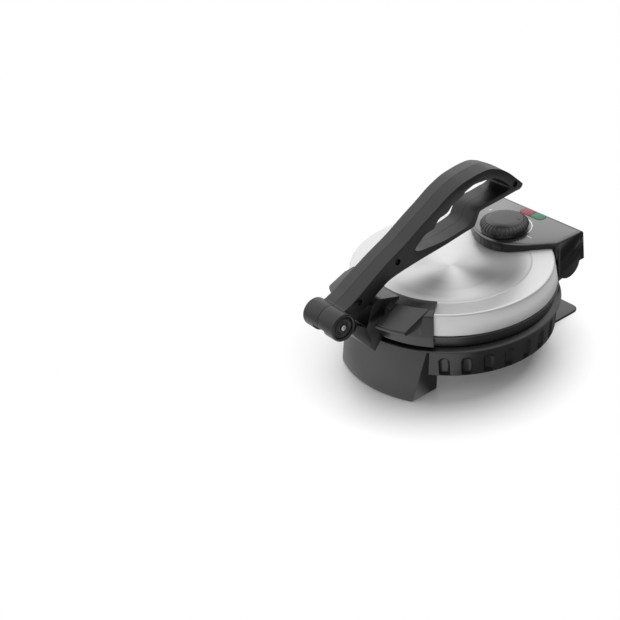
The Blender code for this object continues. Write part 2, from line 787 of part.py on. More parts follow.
def reflector(name, flange_z, floor_z):
    """A pan behind a hotplate. Its flange lies on a ledge and its floor is away from it."""
    sign = 1 if floor_z > flange_z else -1
    wall = ring_inner_radius - hinge_gap
    flange = ledge_radius - slide_gap
    if sign < 0:
        top = flange_z + pan_thickness
        profile = [(0, floor_z), (wall - pan_taper - pan_thickness, floor_z),
                   (wall - pan_thickness, top), (flange, top), (flange, flange_z),
                   (wall, flange_z), (wall - pan_taper, floor_z - pan_thickness),
                   (0, floor_z - pan_thickness)]
    else:
        top = flange_z + pan_thickness
        profile = [(0, floor_z + pan_thickness), (wall - pan_taper, floor_z + pan_thickness),
                   (wall, top), (flange, top), (flange, flange_z),
                   (wall - pan_thickness, flange_z),
                   (wall - pan_taper - pan_thickness, floor_z), (0, floor_z)]
    pan = turned(name, profile, at(0, 0, 0), PLATE_STEPS, False)
    for angle in STUD_ANGLES:
        x, y = turned_point(angle, stud_circle)
        cut(pan, rod("pan_hole", screw_radius + slide_gap, overrun * 2, at(x, y, floor_z),
                     steps=SCREW_STEPS))
    for side in (-1, 1):
        x, y = turned_point(math.pi - side * element_end_angle, element_circle)
        cut(pan, rod("terminal_hole", element_radius + hinge_gap, overrun * 2,
                     at(x, y, floor_z), steps=SCREW_STEPS))
    return finish(pan, *STAINLESS)


def element(name, level_z, end_z):
    """A tube heater: a ring under the plate, with both ends bent to the terminals."""
    curve = bpy.data.curves.new(name, "CURVE")
    curve.dimensions = "3D"
    curve.bevel_depth = element_radius
    curve.bevel_resolution = 1
    curve.use_fill_caps = True
    bend = element_bend if level_z > end_z else -element_bend
    start = math.pi + element_end_angle
    end = math.pi * 3 - element_end_angle
    lead = element_bend / element_circle
    ring = [(start + lead, level_z)]
    steps = TUBE_STEPS
    for index in range(1, steps):
        ring.append((start + lead + (end - start - lead * 2) * index / steps, level_z))
    ring.append((end - lead, level_z))
    leg_in = [(start, end_z), (start, level_z - bend), (start + lead * 0.3,
                                                        level_z - bend * 0.3)]
    leg_out = [(end - lead * 0.3, level_z - bend * 0.3), (end, level_z - bend), (end, end_z)]
    route = leg_in + ring + leg_out
    spline = curve.splines.new("POLY")
    spline.points.add(len(route) - 1)
    for point, (angle, z) in zip(spline.points, route):
        x, y = turned_point(angle, element_circle)
        point.co = (x, y, z, 1)
    piece = place(name, curve, at(0, 0, 0))
    weld = piece.modifiers.new("weld", "WELD")
    weld.merge_threshold = weld_distance
    return finish(piece, *STEEL)


def cord_gland():
    """The bush in the back of the skirt that a supply cord goes through."""
    inner_end = -gland_length / 2
    outer = gland_length / 2
    profile = [(gland_radius, inner_end), (gland_radius, outer - gland_flange),
               (gland_flange_radius, outer - gland_flange), (gland_flange_radius, outer),
               (gland_bore, outer), (gland_bore, inner_end)]
    profile.reverse()
    seat = skirt_foot_radius + skirt_taper * (gland_z - skirt_bottom_z) / skirt_height
    slope_rise = skirt_taper * gland_flange_radius / skirt_height
    middle = seat + slope_rise + seat_gap - outer + gland_flange
    gland = turned("cord_gland", profile, at(0, middle, gland_z), SMALL_STEPS, True,
                   (-math.pi / 2, 0, 0))
    return finish(gland, *RUBBER)


def base():
    base_housing()
    foot_screw_y = rear_foot()
    bottom_cover(foot_screw_y)
    foot_pad("rubber_foot_front_left", -FRONT_FOOT_X, FRONT_FOOT_Y)
    foot_pad("rubber_foot_front_right", FRONT_FOOT_X, FRONT_FOOT_Y)
    foot_pad("rubber_foot_rear_left", -REAR_FOOT_X, REAR_FOOT_Y)
    foot_pad("rubber_foot_rear_right", REAR_FOOT_X, REAR_FOOT_Y)
    for number, angle in enumerate(COVER_SCREW_ANGLES):
        x, y = turned_point(angle, cover_boss_circle)
        screw("cover_screw_" + str(number + 1), at(x, y, cover_z - seat_gap / 3), UP)
    for side, word in ((-1, "left"), (1, "right")):
        screw("foot_screw_" + word,
              at(side * web_offset, foot_screw_y, cover_top_z + seat_gap / 3), DOWN)
        pin_length = housing_half_width - cheek_skin - seat_gap - lug_inner_x
        pin = rod("hinge_pin_" + word, hinge_pin_radius, pin_length,
                  at(side * (lug_inner_x + pin_length / 2), hinge_behind_axis, hinge_z),
                  ALONG_X, SMALL_STEPS)
        finish(pin, *STEEL)
        hinge_bush(side, word)
    hotplate("lower_hotplate", lower_plate_z, True)
    reflector("lower_reflector", pan_flange_z, pan_floor_z)
    block_z = cover_top_z + seat_gap
    block = box("terminal_block", (block_width, block_depth, block_height),
                at(0, element_circle * math.cos(element_end_angle), block_z + block_height / 2))
    round_edges(block, seat_gap * 2, 1)
    finish(block, *CERAMIC)
    element("lower_element", lower_plate_z - seat_gap - element_radius,
            block_z + block_height + seat_gap)
    fuse = rod("thermal_fuse", fuse_radius, fuse_length,
               at(0, fuse_offset, lower_plate_z - seat_gap - fuse_radius), ALONG_X, SCREW_STEPS)
    finish(fuse, *CERAMIC)
    cord_gland()


def hinge_bush(side, word):
    """A nylon collar on the pin, between the base's lug and the lid's cheek."""
    inner = lug_outer_x + seat_gap
    outer = cheek_inner_x - seat_gap
    bore = hinge_pin_radius + seat_gap
    collar = lug_eye_radius - hinge_gap
    half = (outer - inner) / 2
    profile = [(bore, half), (collar, half), (collar, -half), (bore, -half)]
    bush = turned("hinge_bush_" + word, profile, at(side * (inner + half), hinge_behind_axis,
                                                    hinge_z), SMALL_STEPS, True, ALONG_X)
    return finish(bush, *CERAMIC)


# Lid.
def shell_line(outset):
    """The lid's outer line from its middle to its lower edge, moved out by this much."""
    top = shell_top_z + outset
    edge_radius = shell_foot_radius - shell_wall_taper + outset
    crease = edge_radius - shell_band_width - outset
    dish_z = top - shell_band_drop - shell_dish_drop
    return [(0, dish_z), (shell_dish_radius, dish_z),
            ((shell_dish_radius + crease) / 2, top - shell_band_drop - shell_dish_drop * 0.62),
            (crease, top - shell_band_drop),
            (edge_radius - shell_edge, top), (edge_radius - shell_edge * 0.3,
                                              top - shell_edge * 0.3),
            (edge_radius, top - shell_edge),
            (shell_foot_radius + outset, shell_bottom_z)]


def lid_room():
    """The space of the ring and lid, with a gap, which whatever sits on them is cut by."""
    low_z = rim_bottom_z - overrun
    line = shell_line(slide_gap)
    line += [(shell_foot_radius + slide_gap, ring_shoulder_z + slide_gap * 2),
             (ring_radius + slide_gap, ring_shoulder_z + slide_gap * 2),
             (ring_radius + slide_gap, ring_shoulder_z - rim_lip - slide_gap),
             (ring_radius - ring_taper + slide_gap, ring_bottom_z),
             (ring_radius - ring_taper + slide_gap, low_z), (0, low_z)]
    return turned("lid_room", line, at(0, 0, 0), ROUND_STEPS, False)


def lid_shell():
    outer = shell_line(0)
    inner = [(max(radius, 0), z) for radius, z in shell_line(-shell_thickness)]
    inner[-1] = (shell_foot_radius - shell_thickness, shell_bottom_z)
    inner.reverse()
    shell = turned("lid_shell", outer + inner, at(0, 0, 0), ROUND_STEPS, False)
    hole_z = shell_top_z - shell_dish_drop
    cut(shell, rod("shaft_hole", shaft_radius + hinge_gap, overrun * 5, at(0, knob_y, hole_z)))
    for side in (-1, 1):
        cut(shell, rod("housing_screw_hole", screw_radius + slide_gap, overrun * 5,
                       at(side * HOUSING_SCREW_X, HOUSING_SCREW_Y, hole_z),
                       steps=SCREW_STEPS))
    return finish(shell, *STAINLESS)


HOUSING_SCREW_X = housing_arc_radius * 0.58
HOUSING_SCREW_Y = knob_y + overrun
ARM_SCREW_X = arm_half_width * 0.55
ARM_SCREW_Z = (ring_bottom_z + ring_ledge_z) / 2


def lid_ring():
    profile = [
        (collar_radius, ring_shoulder_z + collar_height),
        (collar_radius + hinge_gap / 2, ring_shoulder_z),
        (ring_radius, ring_shoulder_z),
        (ring_radius, ring_shoulder_z - rim_lip),
        (ring_radius - ring_taper, ring_bottom_z + rim_bevel),
        (ring_radius - ring_taper - rim_bevel, ring_bottom_z),
        (ring_inner_radius, ring_bottom_z),
        (ring_inner_radius, ring_ledge_z),
        (ledge_radius, ring_ledge_z),
        (ledge_radius, ring_shoulder_z + collar_height)]
    ring = turned("lid_ring", profile, at(0, 0, 0))
    for side in (-1, 1):
        cut(ring, rod("arm_screw_hole", screw_radius + slide_gap, arm_screw_length * 2,
                      at(side * ARM_SCREW_X, -ring_inner_radius, ARM_SCREW_Z), ALONG_Y,
                      SCREW_STEPS))
    return finish(ring, *SATIN_BLACK)


def top_outline(inset, back_y, half):
    """The control housing seen from above: an arc in front, and straight flared sides."""
    radius = housing_arc_radius - inset
    centre_y = housing_arc_centre_y
    top = math.pi / 2 - housing_arc_half_angle
    sweep = arc((0, centre_y), radius, -math.pi + top, -top, 16)
    end_x, end_y = sweep[-1]
    corner_y = end_y + (half - end_x) * math.tan(housing_arc_half_angle)
    return sweep + [(half, corner_y), (half, back_y), (-half, back_y), (-half, corner_y)]


def control_housing():
    far_y = housing_rear_y + overrun
    low_z = hinge_z - knuckle_radius - overrun
    height = housing_top_z - low_z
    housing = extruded("control_housing", [top_outline(0, far_y, housing_half_width)], height,
                       at(0, 0, low_z + height / 2), bevel=housing_edge, segments=3)
    rear_top_y = housing_rear_y - housing_rear_lean
    rear_arc = arc((rear_top_y - housing_corner, housing_top_z - housing_corner),
                   housing_corner, math.pi / 2, 0, 4)
    knuckle = arc((hinge_behind_axis, hinge_z), knuckle_radius, math.radians(-14), -math.pi, 14)
    front_y = housing_arc_centre_y - housing_arc_radius - overrun
    side = [(front_y, housing_top_z + overrun), (rear_top_y - housing_corner * 2,
                                                 housing_top_z + overrun),
            (rear_top_y - housing_corner * 2, housing_top_z)]
    side += rear_arc
    side += [(housing_rear_y, housing_step_z), (housing_rear_y - housing_step, housing_step_z)]
    side += knuckle
    side += [(hinge_behind_axis - knuckle_radius, housing_under_z), (front_y, housing_under_z)]
    profile = extruded("housing_side", [side], housing_half_width * 3, at(0, 0, 0), SIDE_VIEW)
    keep_common(housing, profile)
    between = box("between_cheeks", (cheek_inner_x * 2, housing_rear_y, height),
                  at(0, hinge_behind_axis, housing_under_z - height / 2))
    cut(housing, between)
    inside = top_outline(housing_wall, housing_rear_inner_y, cheek_inner_x)
    room_height = roof_z - housing_under_z + overrun
    room = extruded("housing_room", [inside], room_height, at(0, 0, roof_z - room_height / 2))
    cut(housing, room)
    cut(housing, lid_room())
    border = panel_border - seat_gap
    recess = extruded("panel_recess", [top_outline(border, PANEL_BACK_Y + seat_gap,
                                                   housing_half_width - border)],
                      panel_thickness * 2, at(0, 0, roof_top_z + panel_thickness))
    cut(housing, recess)
    for side_sign in (-1, 1):
        cut(housing, rod("cheek_hole", hinge_pin_radius + seat_gap,
                         (housing_half_width - cheek_skin - cheek_inner_x) * 2,
                         at(side_sign * cheek_inner_x, hinge_behind_axis, hinge_z), ALONG_X))
        boss_low = housing_under_z + cover_thickness + seat_gap * 2
        join(housing, rod("rear_boss", boss_radius, roof_z - boss_low + overrun / 8,
                          at(side_sign * REAR_BOSS_X, REAR_BOSS_Y,
                             (roof_z + overrun / 8 + boss_low) / 2), steps=SCREW_STEPS))
        cut(housing, rod("rear_boss_hole", screw_radius + seat_gap, screw_length * 2,
                         at(side_sign * REAR_BOSS_X, REAR_BOSS_Y, boss_low),
                         steps=SCREW_STEPS))
        front_boss_low = shell_top_z + slide_gap
        join(housing, rod("front_boss", boss_radius, roof_z - front_boss_low + overrun / 8,
                          at(side_sign * HOUSING_SCREW_X, HOUSING_SCREW_Y,
                             (roof_z + overrun / 8 + front_boss_low) / 2),
                          steps=SCREW_STEPS))
        cut(housing, rod("front_boss_hole", screw_radius + seat_gap, screw_short_length * 2,
                         at(side_sign * HOUSING_SCREW_X, HOUSING_SCREW_Y,
                            front_boss_low - seat_gap), steps=SCREW_STEPS))
    cut(housing, rod("housing_shaft_hole", shaft_radius + hinge_gap, overrun * 3,
                     at(0, knob_y, roof_z)))
    cut(housing, pill("housing_lens_hole", seat_gap, roof_z, overrun * 2))
    return finish(housing, *GLOSS_BLACK)


PANEL_BACK_Y = housing_rear_y - housing_rear_lean - housing_corner
REAR_BOSS_X = cheek_inner_x * 0.66
REAR_BOSS_Y = housing_rear_inner_y - boss_radius - hinge_gap


def pill(name, outset, centre_z, height):
    radius = lens_width / 2 + outset
    straight = lens_length / 2 - lens_width / 2
    outline = arc((straight, lens_y), radius, -math.pi / 2, math.pi / 2, 6)
    outline += arc((-straight, lens_y), radius, math.pi / 2, math.pi * 1.5, 6)
    return extruded(name, [outline], height, at(0, 0, centre_z))


def half_pill(name, outset, side, centre_z, height):
    radius = lens_width / 2 + outset
    straight = lens_length / 2 - lens_width / 2
    outline = arc((side * straight, lens_y), radius, -math.pi / 2, side * math.pi / 2
                  + (0 if side > 0 else -math.pi), 6)
    inner = side * seat_gap / 2
    outline += [(inner, lens_y + radius), (inner, lens_y - radius)]
    return extruded(name, [outline], height, at(0, 0, centre_z))


def control_panel():
    panel = extruded("control_panel", [top_outline(panel_border, PANEL_BACK_Y,
                                                   housing_half_width - panel_border)],
                     panel_thickness, at(0, 0, panel_z + panel_thickness / 2))
    cut(panel, rod("panel_shaft_hole", shaft_radius + hinge_gap, overrun * 2,
                   at(0, knob_y, panel_z)))
    cut(panel, pill("panel_lens_hole", seat_gap, panel_z, overrun * 2))
    return finish(panel, *GLOSS_BLACK)


def lens_and_lamp(word, side, colours):
    top = panel_top_z + lens_proud
    flange_top = roof_z - seat_gap
    flange_low = flange_top - lens_flange_thickness
    low = top - lens_depth
    lens = half_pill("indicator_lens_" + word, 0, side, (top + low) / 2, top - low)
    join(lens, half_pill("lens_flange", lens_flange, side, (flange_top + flange_low) / 2,
                         lens_flange_thickness))
    room_x = side * lens_length / 4
    room_width = lens_length / 2 - lens_wall * 2 - lens_width / 4
    room_depth = lens_width - lens_wall * 2 - lens_wall
    room_top = top - lens_wall
    cut(lens, box("lens_room", (room_width, room_depth, lens_depth * 2),
                  at(room_x, lens_y, room_top - lens_depth)))
    finish(lens, *colours)
    base_z = low
    lamp = box("lamp_" + word, (room_width - seat_gap * 2, room_depth - seat_gap * 2,
                                lamp_base_height), at(room_x, lens_y, base_z
                                                      + lamp_base_height / 2))
    bulb_top = room_top - lens_wall
    join(lamp, rod("bulb", lamp_radius, bulb_top - base_z - lamp_base_height / 2,
                   at(room_x, lens_y, (bulb_top + base_z + lamp_base_height / 2) / 2),
                   steps=SCREW_STEPS))
    return finish(lamp, *LAMP_GLASS)


def rear_cover():
    """The plate that closes the control housing from below, behind the lid's wall."""
    back = housing_rear_inner_y - seat_gap
    front = lug_front_y - overrun
    plate_z = housing_under_z + seat_gap
    cover = box("rear_cover", (cheek_inner_x * 2 - seat_gap * 2, back - front,
                               cover_thickness), at(0, (back + front) / 2,
                                                    plate_z + cover_thickness / 2))
    cut(cover, lid_room())
    for side in (-1, 1):
        cut(cover, rod("rear_cover_hole", screw_radius + slide_gap, overrun * 2,
                       at(side * REAR_BOSS_X, REAR_BOSS_Y, plate_z), steps=SCREW_STEPS))
    return finish(cover, *SATIN_BLACK)


def thermostat():
    low_z = pan_roof_z + pan_thickness + seat_gap
    body = box("thermostat_body", (thermostat_width, thermostat_depth, thermostat_height),
               at(0, knob_y, low_z + thermostat_height / 2))
    sensor_low = upper_plate_top_z + seat_gap
    join(body, rod("sensor", sensor_radius, low_z + overrun / 4 - sensor_low,
                   at(0, knob_y, (low_z + overrun / 4 + sensor_low) / 2)))
    finish(body, *CERAMIC)
    return low_z + thermostat_height


def lid():
    lid_shell()
    lid_ring()
    hotplate("upper_hotplate", upper_plate_z, False)
    pan = reflector("upper_reflector", ring_ledge_z + seat_gap, pan_roof_z)
    cut(pan, rod("sensor_hole", sensor_radius + hinge_gap, overrun * 2,
                 at(0, knob_y, pan_roof_z)))
    element("upper_element", upper_plate_top_z + seat_gap + element_radius,
            pan_roof_z + pan_thickness + element_bend)
    body_top = thermostat()
    control_housing()
    control_panel()
    rear_cover()
    lens_and_lamp("red", -1, RED_LENS)
    lens_and_lamp("green", 1, GREEN_LENS)
    inner_shell_z = shell_top_z - shell_thickness - shell_band_drop - seat_gap
    for side, word in ((-1, "left"), (1, "right")):
        screw("rear_cover_screw_" + word,
              at(side * REAR_BOSS_X, REAR_BOSS_Y, housing_under_z + seat_gap / 2), UP)
        screw("housing_screw_" + word, at(side * HOUSING_SCREW_X, HOUSING_SCREW_Y,
                                          inner_shell_z), UP, screw_short_length)
        screw("arm_screw_" + word,
              at(side * ARM_SCREW_X, slide_gap - math.sqrt(ring_inner_radius ** 2
                                                           - ARM_SCREW_X ** 2),
                 ARM_SCREW_Z), FORWARD, arm_screw_length)
    front_bracket()
    return body_top


# Front bracket.
def wing(side):
    """A sloping plate on a wedge, beside the arm, that a hand lifts the lid by."""
    width = wing_outer_x - wing_inner_x
    centre_x = side * (wing_inner_x + width / 2)
    outline = [(-wing_root_y, wing_root_z), (-wing_start_y, wing_root_z - bracket_wall / 3),
               (-wing_reach, wing_tip_z), (-wing_reach, wing_under_z),
               (-wing_root_y, wing_under_z)]
    shape = extruded("wing", [outline], width, at(centre_x, 0, 0), SIDE_VIEW)
    middle_z = (wing_root_z + wing_under_z) / 2
    keep_common(shape, rod("wing_round", wing_reach - rim_lip, shell_wall_height * 2,
                           at(0, 0, middle_z), steps=ROUND_STEPS))
    return shape


def tongue():
    """The arm's end inside the barrel: a flat bar with a round eye on the pivot."""
    reach = arm_clear_radius + overrun * 2
    across = Vector((-math.sin(tongue_angle), math.cos(tongue_angle))) * tongue_half_thickness
    along = Vector((math.cos(tongue_angle), math.sin(tongue_angle))) * reach
    outline = [tuple(across), tuple(-across), tuple(along - across), tuple(along + across)]
    bar = extruded("tongue", [outline], tongue_half_width * 2, at(0, pivot_y, pivot_z),
                   SIDE_VIEW)
    eye = rod("tongue_eye", tongue_eye_radius, tongue_half_width * 2,
              at(0, pivot_y, pivot_z), ALONG_X)
    return bar, eye


def front_bracket():
    bottom = rim_top_z + bracket_bottom_above_rim
    wall = ring_radius + slide_gap + bracket_wall
    lip_top = shell_top_z + slide_gap + bracket_lip_thickness
    edge = shell_foot_radius - shell_wall_taper + slide_gap + bracket_wall
    profile = [(bracket_lip_inner_radius, lip_top), (edge - bracket_wall, lip_top),
               (edge, lip_top - bracket_wall), (wall, ring_shoulder_z), (wall, bottom),
               (bracket_lip_inner_radius, bottom)]
    bracket = turned("front_bracket", profile, at(0, 0, 0))
    far = wing_reach * 2
    corner = (far * math.sin(bracket_half_angle), -far * math.cos(bracket_half_angle))
    wedge = [(0, 0), (-corner[0], corner[1]), corner]
    keep_common(bracket, extruded("bracket_wedge", [wedge], shell_top_z * 3, at(0, 0, 0)))
    for side in (-1, 1):
        join(bracket, wing(side))
    outline = [(-plate_radius - beyond, height) for label, beyond, height in ARM_OUTLINE]
    arm = extruded("arm", [outline], arm_half_width * 2, at(0, 0, 0), SIDE_VIEW)
    barrel_room = rod("barrel_room", arm_clear_radius, arm_half_width * 3,
                      at(0, pivot_y, pivot_z), ALONG_X, SMALL_STEPS * 2)
    cut(arm, barrel_room)
    join(bracket, arm)
    bar, eye = tongue()
    join(bracket, bar)
    join(bracket, eye)
    cut(bracket, lid_room())
    cut(bracket, rod("tongue_hole", pivot_pin_radius + seat_gap, tongue_half_width * 3,
                     at(0, pivot_y, pivot_z), ALONG_X))
    for side in (-1, 1):
        depth = (arm_screw_length + hinge_gap) * 2
        cut(bracket, rod("arm_boss_hole", screw_radius + seat_gap, depth,
                         at(side * ARM_SCREW_X, -ring_inner_radius, ARM_SCREW_Z), ALONG_Y,
                         SCREW_STEPS))
    return finish(bracket, *SATIN_BLACK)


# Handle.
def handle_point(share):
    return share[0] * handle_reach, share[1] * handle_rise


def handle_half(side, word):
    outer = [handle_point(share) for share in HANDLE_TOP_SHARES + HANDLE_UNDER_SHARES]
    hole = [handle_point(share) for share in HOLE_TOP_SHARES + HOLE_UNDER_SHARES]
    width = handle_half_width - half_gap
    centre_x = side * (half_gap + width / 2)
    place_at = at(centre_x, pivot_y, pivot_z)
    half = extruded("handle_half_" + word, [outer, hole], width, place_at, SIDE_VIEW)
    round_outer_side(half, side, handle_edge)
    widths = [(0, handle_half_width + handle_root_widening),
              (handle_reach * 0.36, handle_half_width - handle_waist_narrowing),
              (handle_reach * 0.80, handle_half_width), (handle_reach, handle_half_width)]
    for vert in half.data.vertices:
        if vert.co.z * side > 0:
            vert.co.z += side * (interpolate(widths, vert.co.x) - handle_half_width)
    for shares in (POCKET_A_SHARES, POCKET_B_SHARES):
        outline = [handle_point(share) for share in shares]
        depth = handle_half_width - handle_waist_narrowing - pocket_skin
        pocket = extruded("pocket", [outline], depth * 2, at(0, pivot_y, pivot_z), SIDE_VIEW)
        cut(half, pocket)
    barrel_length = barrel_half_length - half_gap
    end = barrel_length / 2
    profile = [(0, end), (barrel_radius - barrel_end_round, end),
               (barrel_radius, end - barrel_end_round), (barrel_radius, -end), (0, -end)]
    turn = ALONG_X if side > 0 else LEFTWARD
    barrel = turned("barrel_half", profile, at(side * (half_gap + end), pivot_y, pivot_z),
                    SMALL_STEPS * 2, False, turn)
    join(half, barrel)
    around = slot_front_angle + 2 * math.pi
    middle = (slot_rear_angle + slot_front_angle) / 2
    slot_reach = barrel_radius * 3
    room = arc((0, 0), sleeve_radius, slot_rear_angle, around, SMALL_STEPS)
    for angle in (slot_front_angle, middle, slot_rear_angle):
        room.append((slot_reach * math.cos(angle), slot_reach * math.sin(angle)))
    cut(half, extruded("sleeve_room", [room], slot_half_width * 2, at(0, pivot_y, pivot_z),
                       SIDE_VIEW))
    cut(half, rod("pin_hole", pivot_pin_radius + seat_gap, barrel_half_length * 3,
                  at(0, pivot_y, pivot_z), ALONG_X))
    cut(half, rod("cap_recess", barrel_cap_radius + seat_gap, barrel_cap_depth * 2,
                  at(side * barrel_half_length, pivot_y, pivot_z), ALONG_X,
                  SMALL_STEPS))
    for number, share in enumerate(SCREW_PLACE_SHARES):
        across, up = handle_point(share)
        middle = at(0, pivot_y + across, pivot_z + up)
        if side > 0:
            cut(half, rod("handle_screw_hole", handle_screw_radius + slide_gap,
                          handle_half_width * 4, middle, ALONG_X, SCREW_STEPS))
            face = interpolate(widths, across)
            recess_at = middle + Vector((face, 0, 0))
            cut(half, rod("handle_screw_recess", handle_screw_head + hinge_gap,
                          handle_screw_recess * 2, recess_at, ALONG_X, SCREW_STEPS))
            head_x = face - handle_screw_recess - seat_gap / 3 + seat_gap
            length = head_x + handle_half_width / 2
            handle_screw(number + 1, middle + Vector((head_x, 0, 0)), length)
        else:
            cut(half, rod("handle_screw_pilot", handle_screw_radius + seat_gap,
                          handle_half_width * 1.2, middle, ALONG_X, SCREW_STEPS))
    return finish(half, *SATIN_BLACK)


def handle_screw(number, head_at, length):
    """A screw in the right half whose shank runs across the seam into the left half."""
    profile = [(0, length), (handle_screw_radius, length), (handle_screw_radius, 0),
               (handle_screw_head, 0), (handle_screw_head, -screw_head_height),
               (0, -screw_head_height)]
    piece = turned("handle_screw_" + str(number), profile, head_at, SCREW_STEPS, False,
                   LEFTWARD)
    return finish(piece, *STEEL)


def handle():
    handle_half(-1, "left")
    handle_half(1, "right")
    floor_x = barrel_half_length - barrel_cap_depth
    for side, word in ((-1, "left"), (1, "right")):
        low = seat_gap
        high = low + barrel_cap_thickness
        bore = pivot_pin_radius + seat_gap
        profile = [(bore, high), (barrel_cap_radius - rim_lip, high),
                   (barrel_cap_radius, high - rim_lip / 2), (barrel_cap_radius, low),
                   (bore, low)]
        turn = ALONG_X if side > 0 else LEFTWARD
        cap = turned("barrel_cap_" + word, profile, at(side * floor_x, pivot_y, pivot_z),
                     SMALL_STEPS, True, turn)
        finish(cap, *SATIN_BLACK)
    head_low = floor_x + seat_gap * 2 + barrel_cap_thickness
    head_high = head_low + pin_head_height
    profile = [(0, head_high), (pin_head_radius - rim_lip, head_high),
               (pin_head_radius, head_low + pin_head_height / 2), (pin_head_radius, head_low),
               (pivot_pin_radius, head_low), (pivot_pin_radius, -head_low),
               (pin_head_radius, -head_low),
               (pin_head_radius, -head_low - pin_head_height / 2),
               (pin_head_radius - rim_lip, -head_high), (0, -head_high)]
    pin = turned("pivot_pin", profile, at(0, pivot_y, pivot_z), SMALL_STEPS, False, ALONG_X)
    finish(pin, *STEEL)


# Knob.
def knob(shaft_low_z):
    skirt_top = knob_z + knob_skirt_height
    top = knob_z + knob_height
    bore = shaft_radius + seat_gap
    bore_top = top - knob_wall
    lower_top = skirt_top + seat_gap
    grip_top = top - knob_shoulder
    profile = [(0, top), (knob_radius - knob_draft - knob_shoulder, top - rim_bevel / 2),
               (knob_radius - knob_draft - knob_shoulder / 4, grip_top + knob_shoulder / 4),
               (knob_radius - knob_draft, grip_top - knob_shoulder / 4),
               (knob_radius, lower_top), (bore, lower_top), (bore, bore_top), (0, bore_top)]
    body = turned("knob_body", profile, at(0, knob_y, 0), knob_groove_count, False)
    mesh = bpy.data.meshes.new("knob_grooves")
    shape = bmesh.new()
    for index in range(knob_groove_count):
        x, y = turned_point(2 * math.pi * (index + 0.5) / knob_groove_count,
                            knob_radius - knob_draft / 2)
        move = Matrix.Translation((x, y, (lower_top + grip_top) / 2))
        bmesh.ops.create_cone(shape, cap_ends=True, segments=4, radius1=knob_groove_radius,
                              radius2=knob_groove_radius,
                              depth=grip_top - lower_top - knob_shoulder, matrix=move)
    shape.to_mesh(mesh)
    shape.free()
    cut(body, place("knob_grooves", mesh, at(0, knob_y, 0)))
    finish(body, *GLOSS_BLACK)
    skirt_profile_points = [(knob_radius, skirt_top), (knob_skirt_radius, knob_z + rim_bevel),
                            (knob_skirt_radius, knob_z), (bore, knob_z), (bore, skirt_top)]
    skirt_profile_points = skirt_profile_points[-1:] + skirt_profile_points[:-1]
    skirt = turned("knob_skirt", skirt_profile_points, at(0, knob_y, 0), SMALL_STEPS * 2)
    finish(skirt, *GLOSS_BLACK)
    low = shaft_low_z + seat_gap
    high = bore_top - seat_gap
    shaft = rod("thermostat_shaft", shaft_radius, high - low, at(0, knob_y, (low + high) / 2))
    finish(shaft, *STEEL)


# Joints: a moving piece has an empty on its axis as parent.
def hinge_empty(name, place_at, parent=None):
    empty = bpy.data.objects.new(name, None)
    empty.location = place_at
    parts.objects.link(empty)
    if parent:
        carry(empty, parent, parent["home"])
    empty["home"] = tuple(place_at)
    return empty


def carry(piece, parent, home):
    piece.parent = parent
    piece.matrix_parent_inverse = Matrix.Translation(Vector(home)).inverted()


def parent_pieces():
    lid_hinge = hinge_empty("lid_hinge", at(0, hinge_behind_axis, hinge_z))
    handle_hinge = hinge_empty("handle_hinge", at(0, pivot_y, pivot_z), lid_hinge)
    knob_axis = hinge_empty("knob_axis", at(0, knob_y, knob_z), lid_hinge)
    handle_names = ("handle_", "barrel_cap_", "pivot_pin")
    knob_names = ("knob_body", "knob_skirt", "thermostat_shaft")
    lid_names = ("lid_", "upper_", "control_", "rear_cover", "indicator_", "lamp_",
                 "thermostat_body", "housing_screw", "arm_screw", "front_bracket")
    for piece in list(parts.objects):
        if piece.type == "EMPTY":
            continue
        if piece.name.startswith(handle_names):
            carry(piece, handle_hinge, handle_hinge["home"])
        elif piece.name.startswith(knob_names):
            carry(piece, knob_axis, knob_axis["home"])
        elif piece.name.startswith(lid_names):
            carry(piece, lid_hinge, lid_hinge["home"])


base()
shaft_seat_z = lid()
handle()
knob(shaft_seat_z)
parent_pieces()
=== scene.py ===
"""Looks of an electric roti maker. It is laid out as a Blender add-on and run as a script."""

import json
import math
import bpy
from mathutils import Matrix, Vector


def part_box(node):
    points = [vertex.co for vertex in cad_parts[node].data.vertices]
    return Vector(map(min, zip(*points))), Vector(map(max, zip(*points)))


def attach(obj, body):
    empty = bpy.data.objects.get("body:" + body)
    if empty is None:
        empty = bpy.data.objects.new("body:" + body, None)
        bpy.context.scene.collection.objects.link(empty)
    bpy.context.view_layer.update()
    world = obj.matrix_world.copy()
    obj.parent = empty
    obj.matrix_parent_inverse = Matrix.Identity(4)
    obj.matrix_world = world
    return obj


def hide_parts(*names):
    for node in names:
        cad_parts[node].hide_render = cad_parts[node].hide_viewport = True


bl_info = {
    "name": "Electric roti maker",
    "version": (1, 0, 0),
    "blender": (4, 5, 0),
    "location": "3D View > Sidebar > Roti maker",
    "description": "Dresses the solids of an electric roti maker with finished pieces",
    "category": "Add Mesh",
}

import bmesh
import bpy
from bpy.props import FloatProperty, FloatVectorProperty, IntProperty, PointerProperty
from mathutils import Matrix, Vector

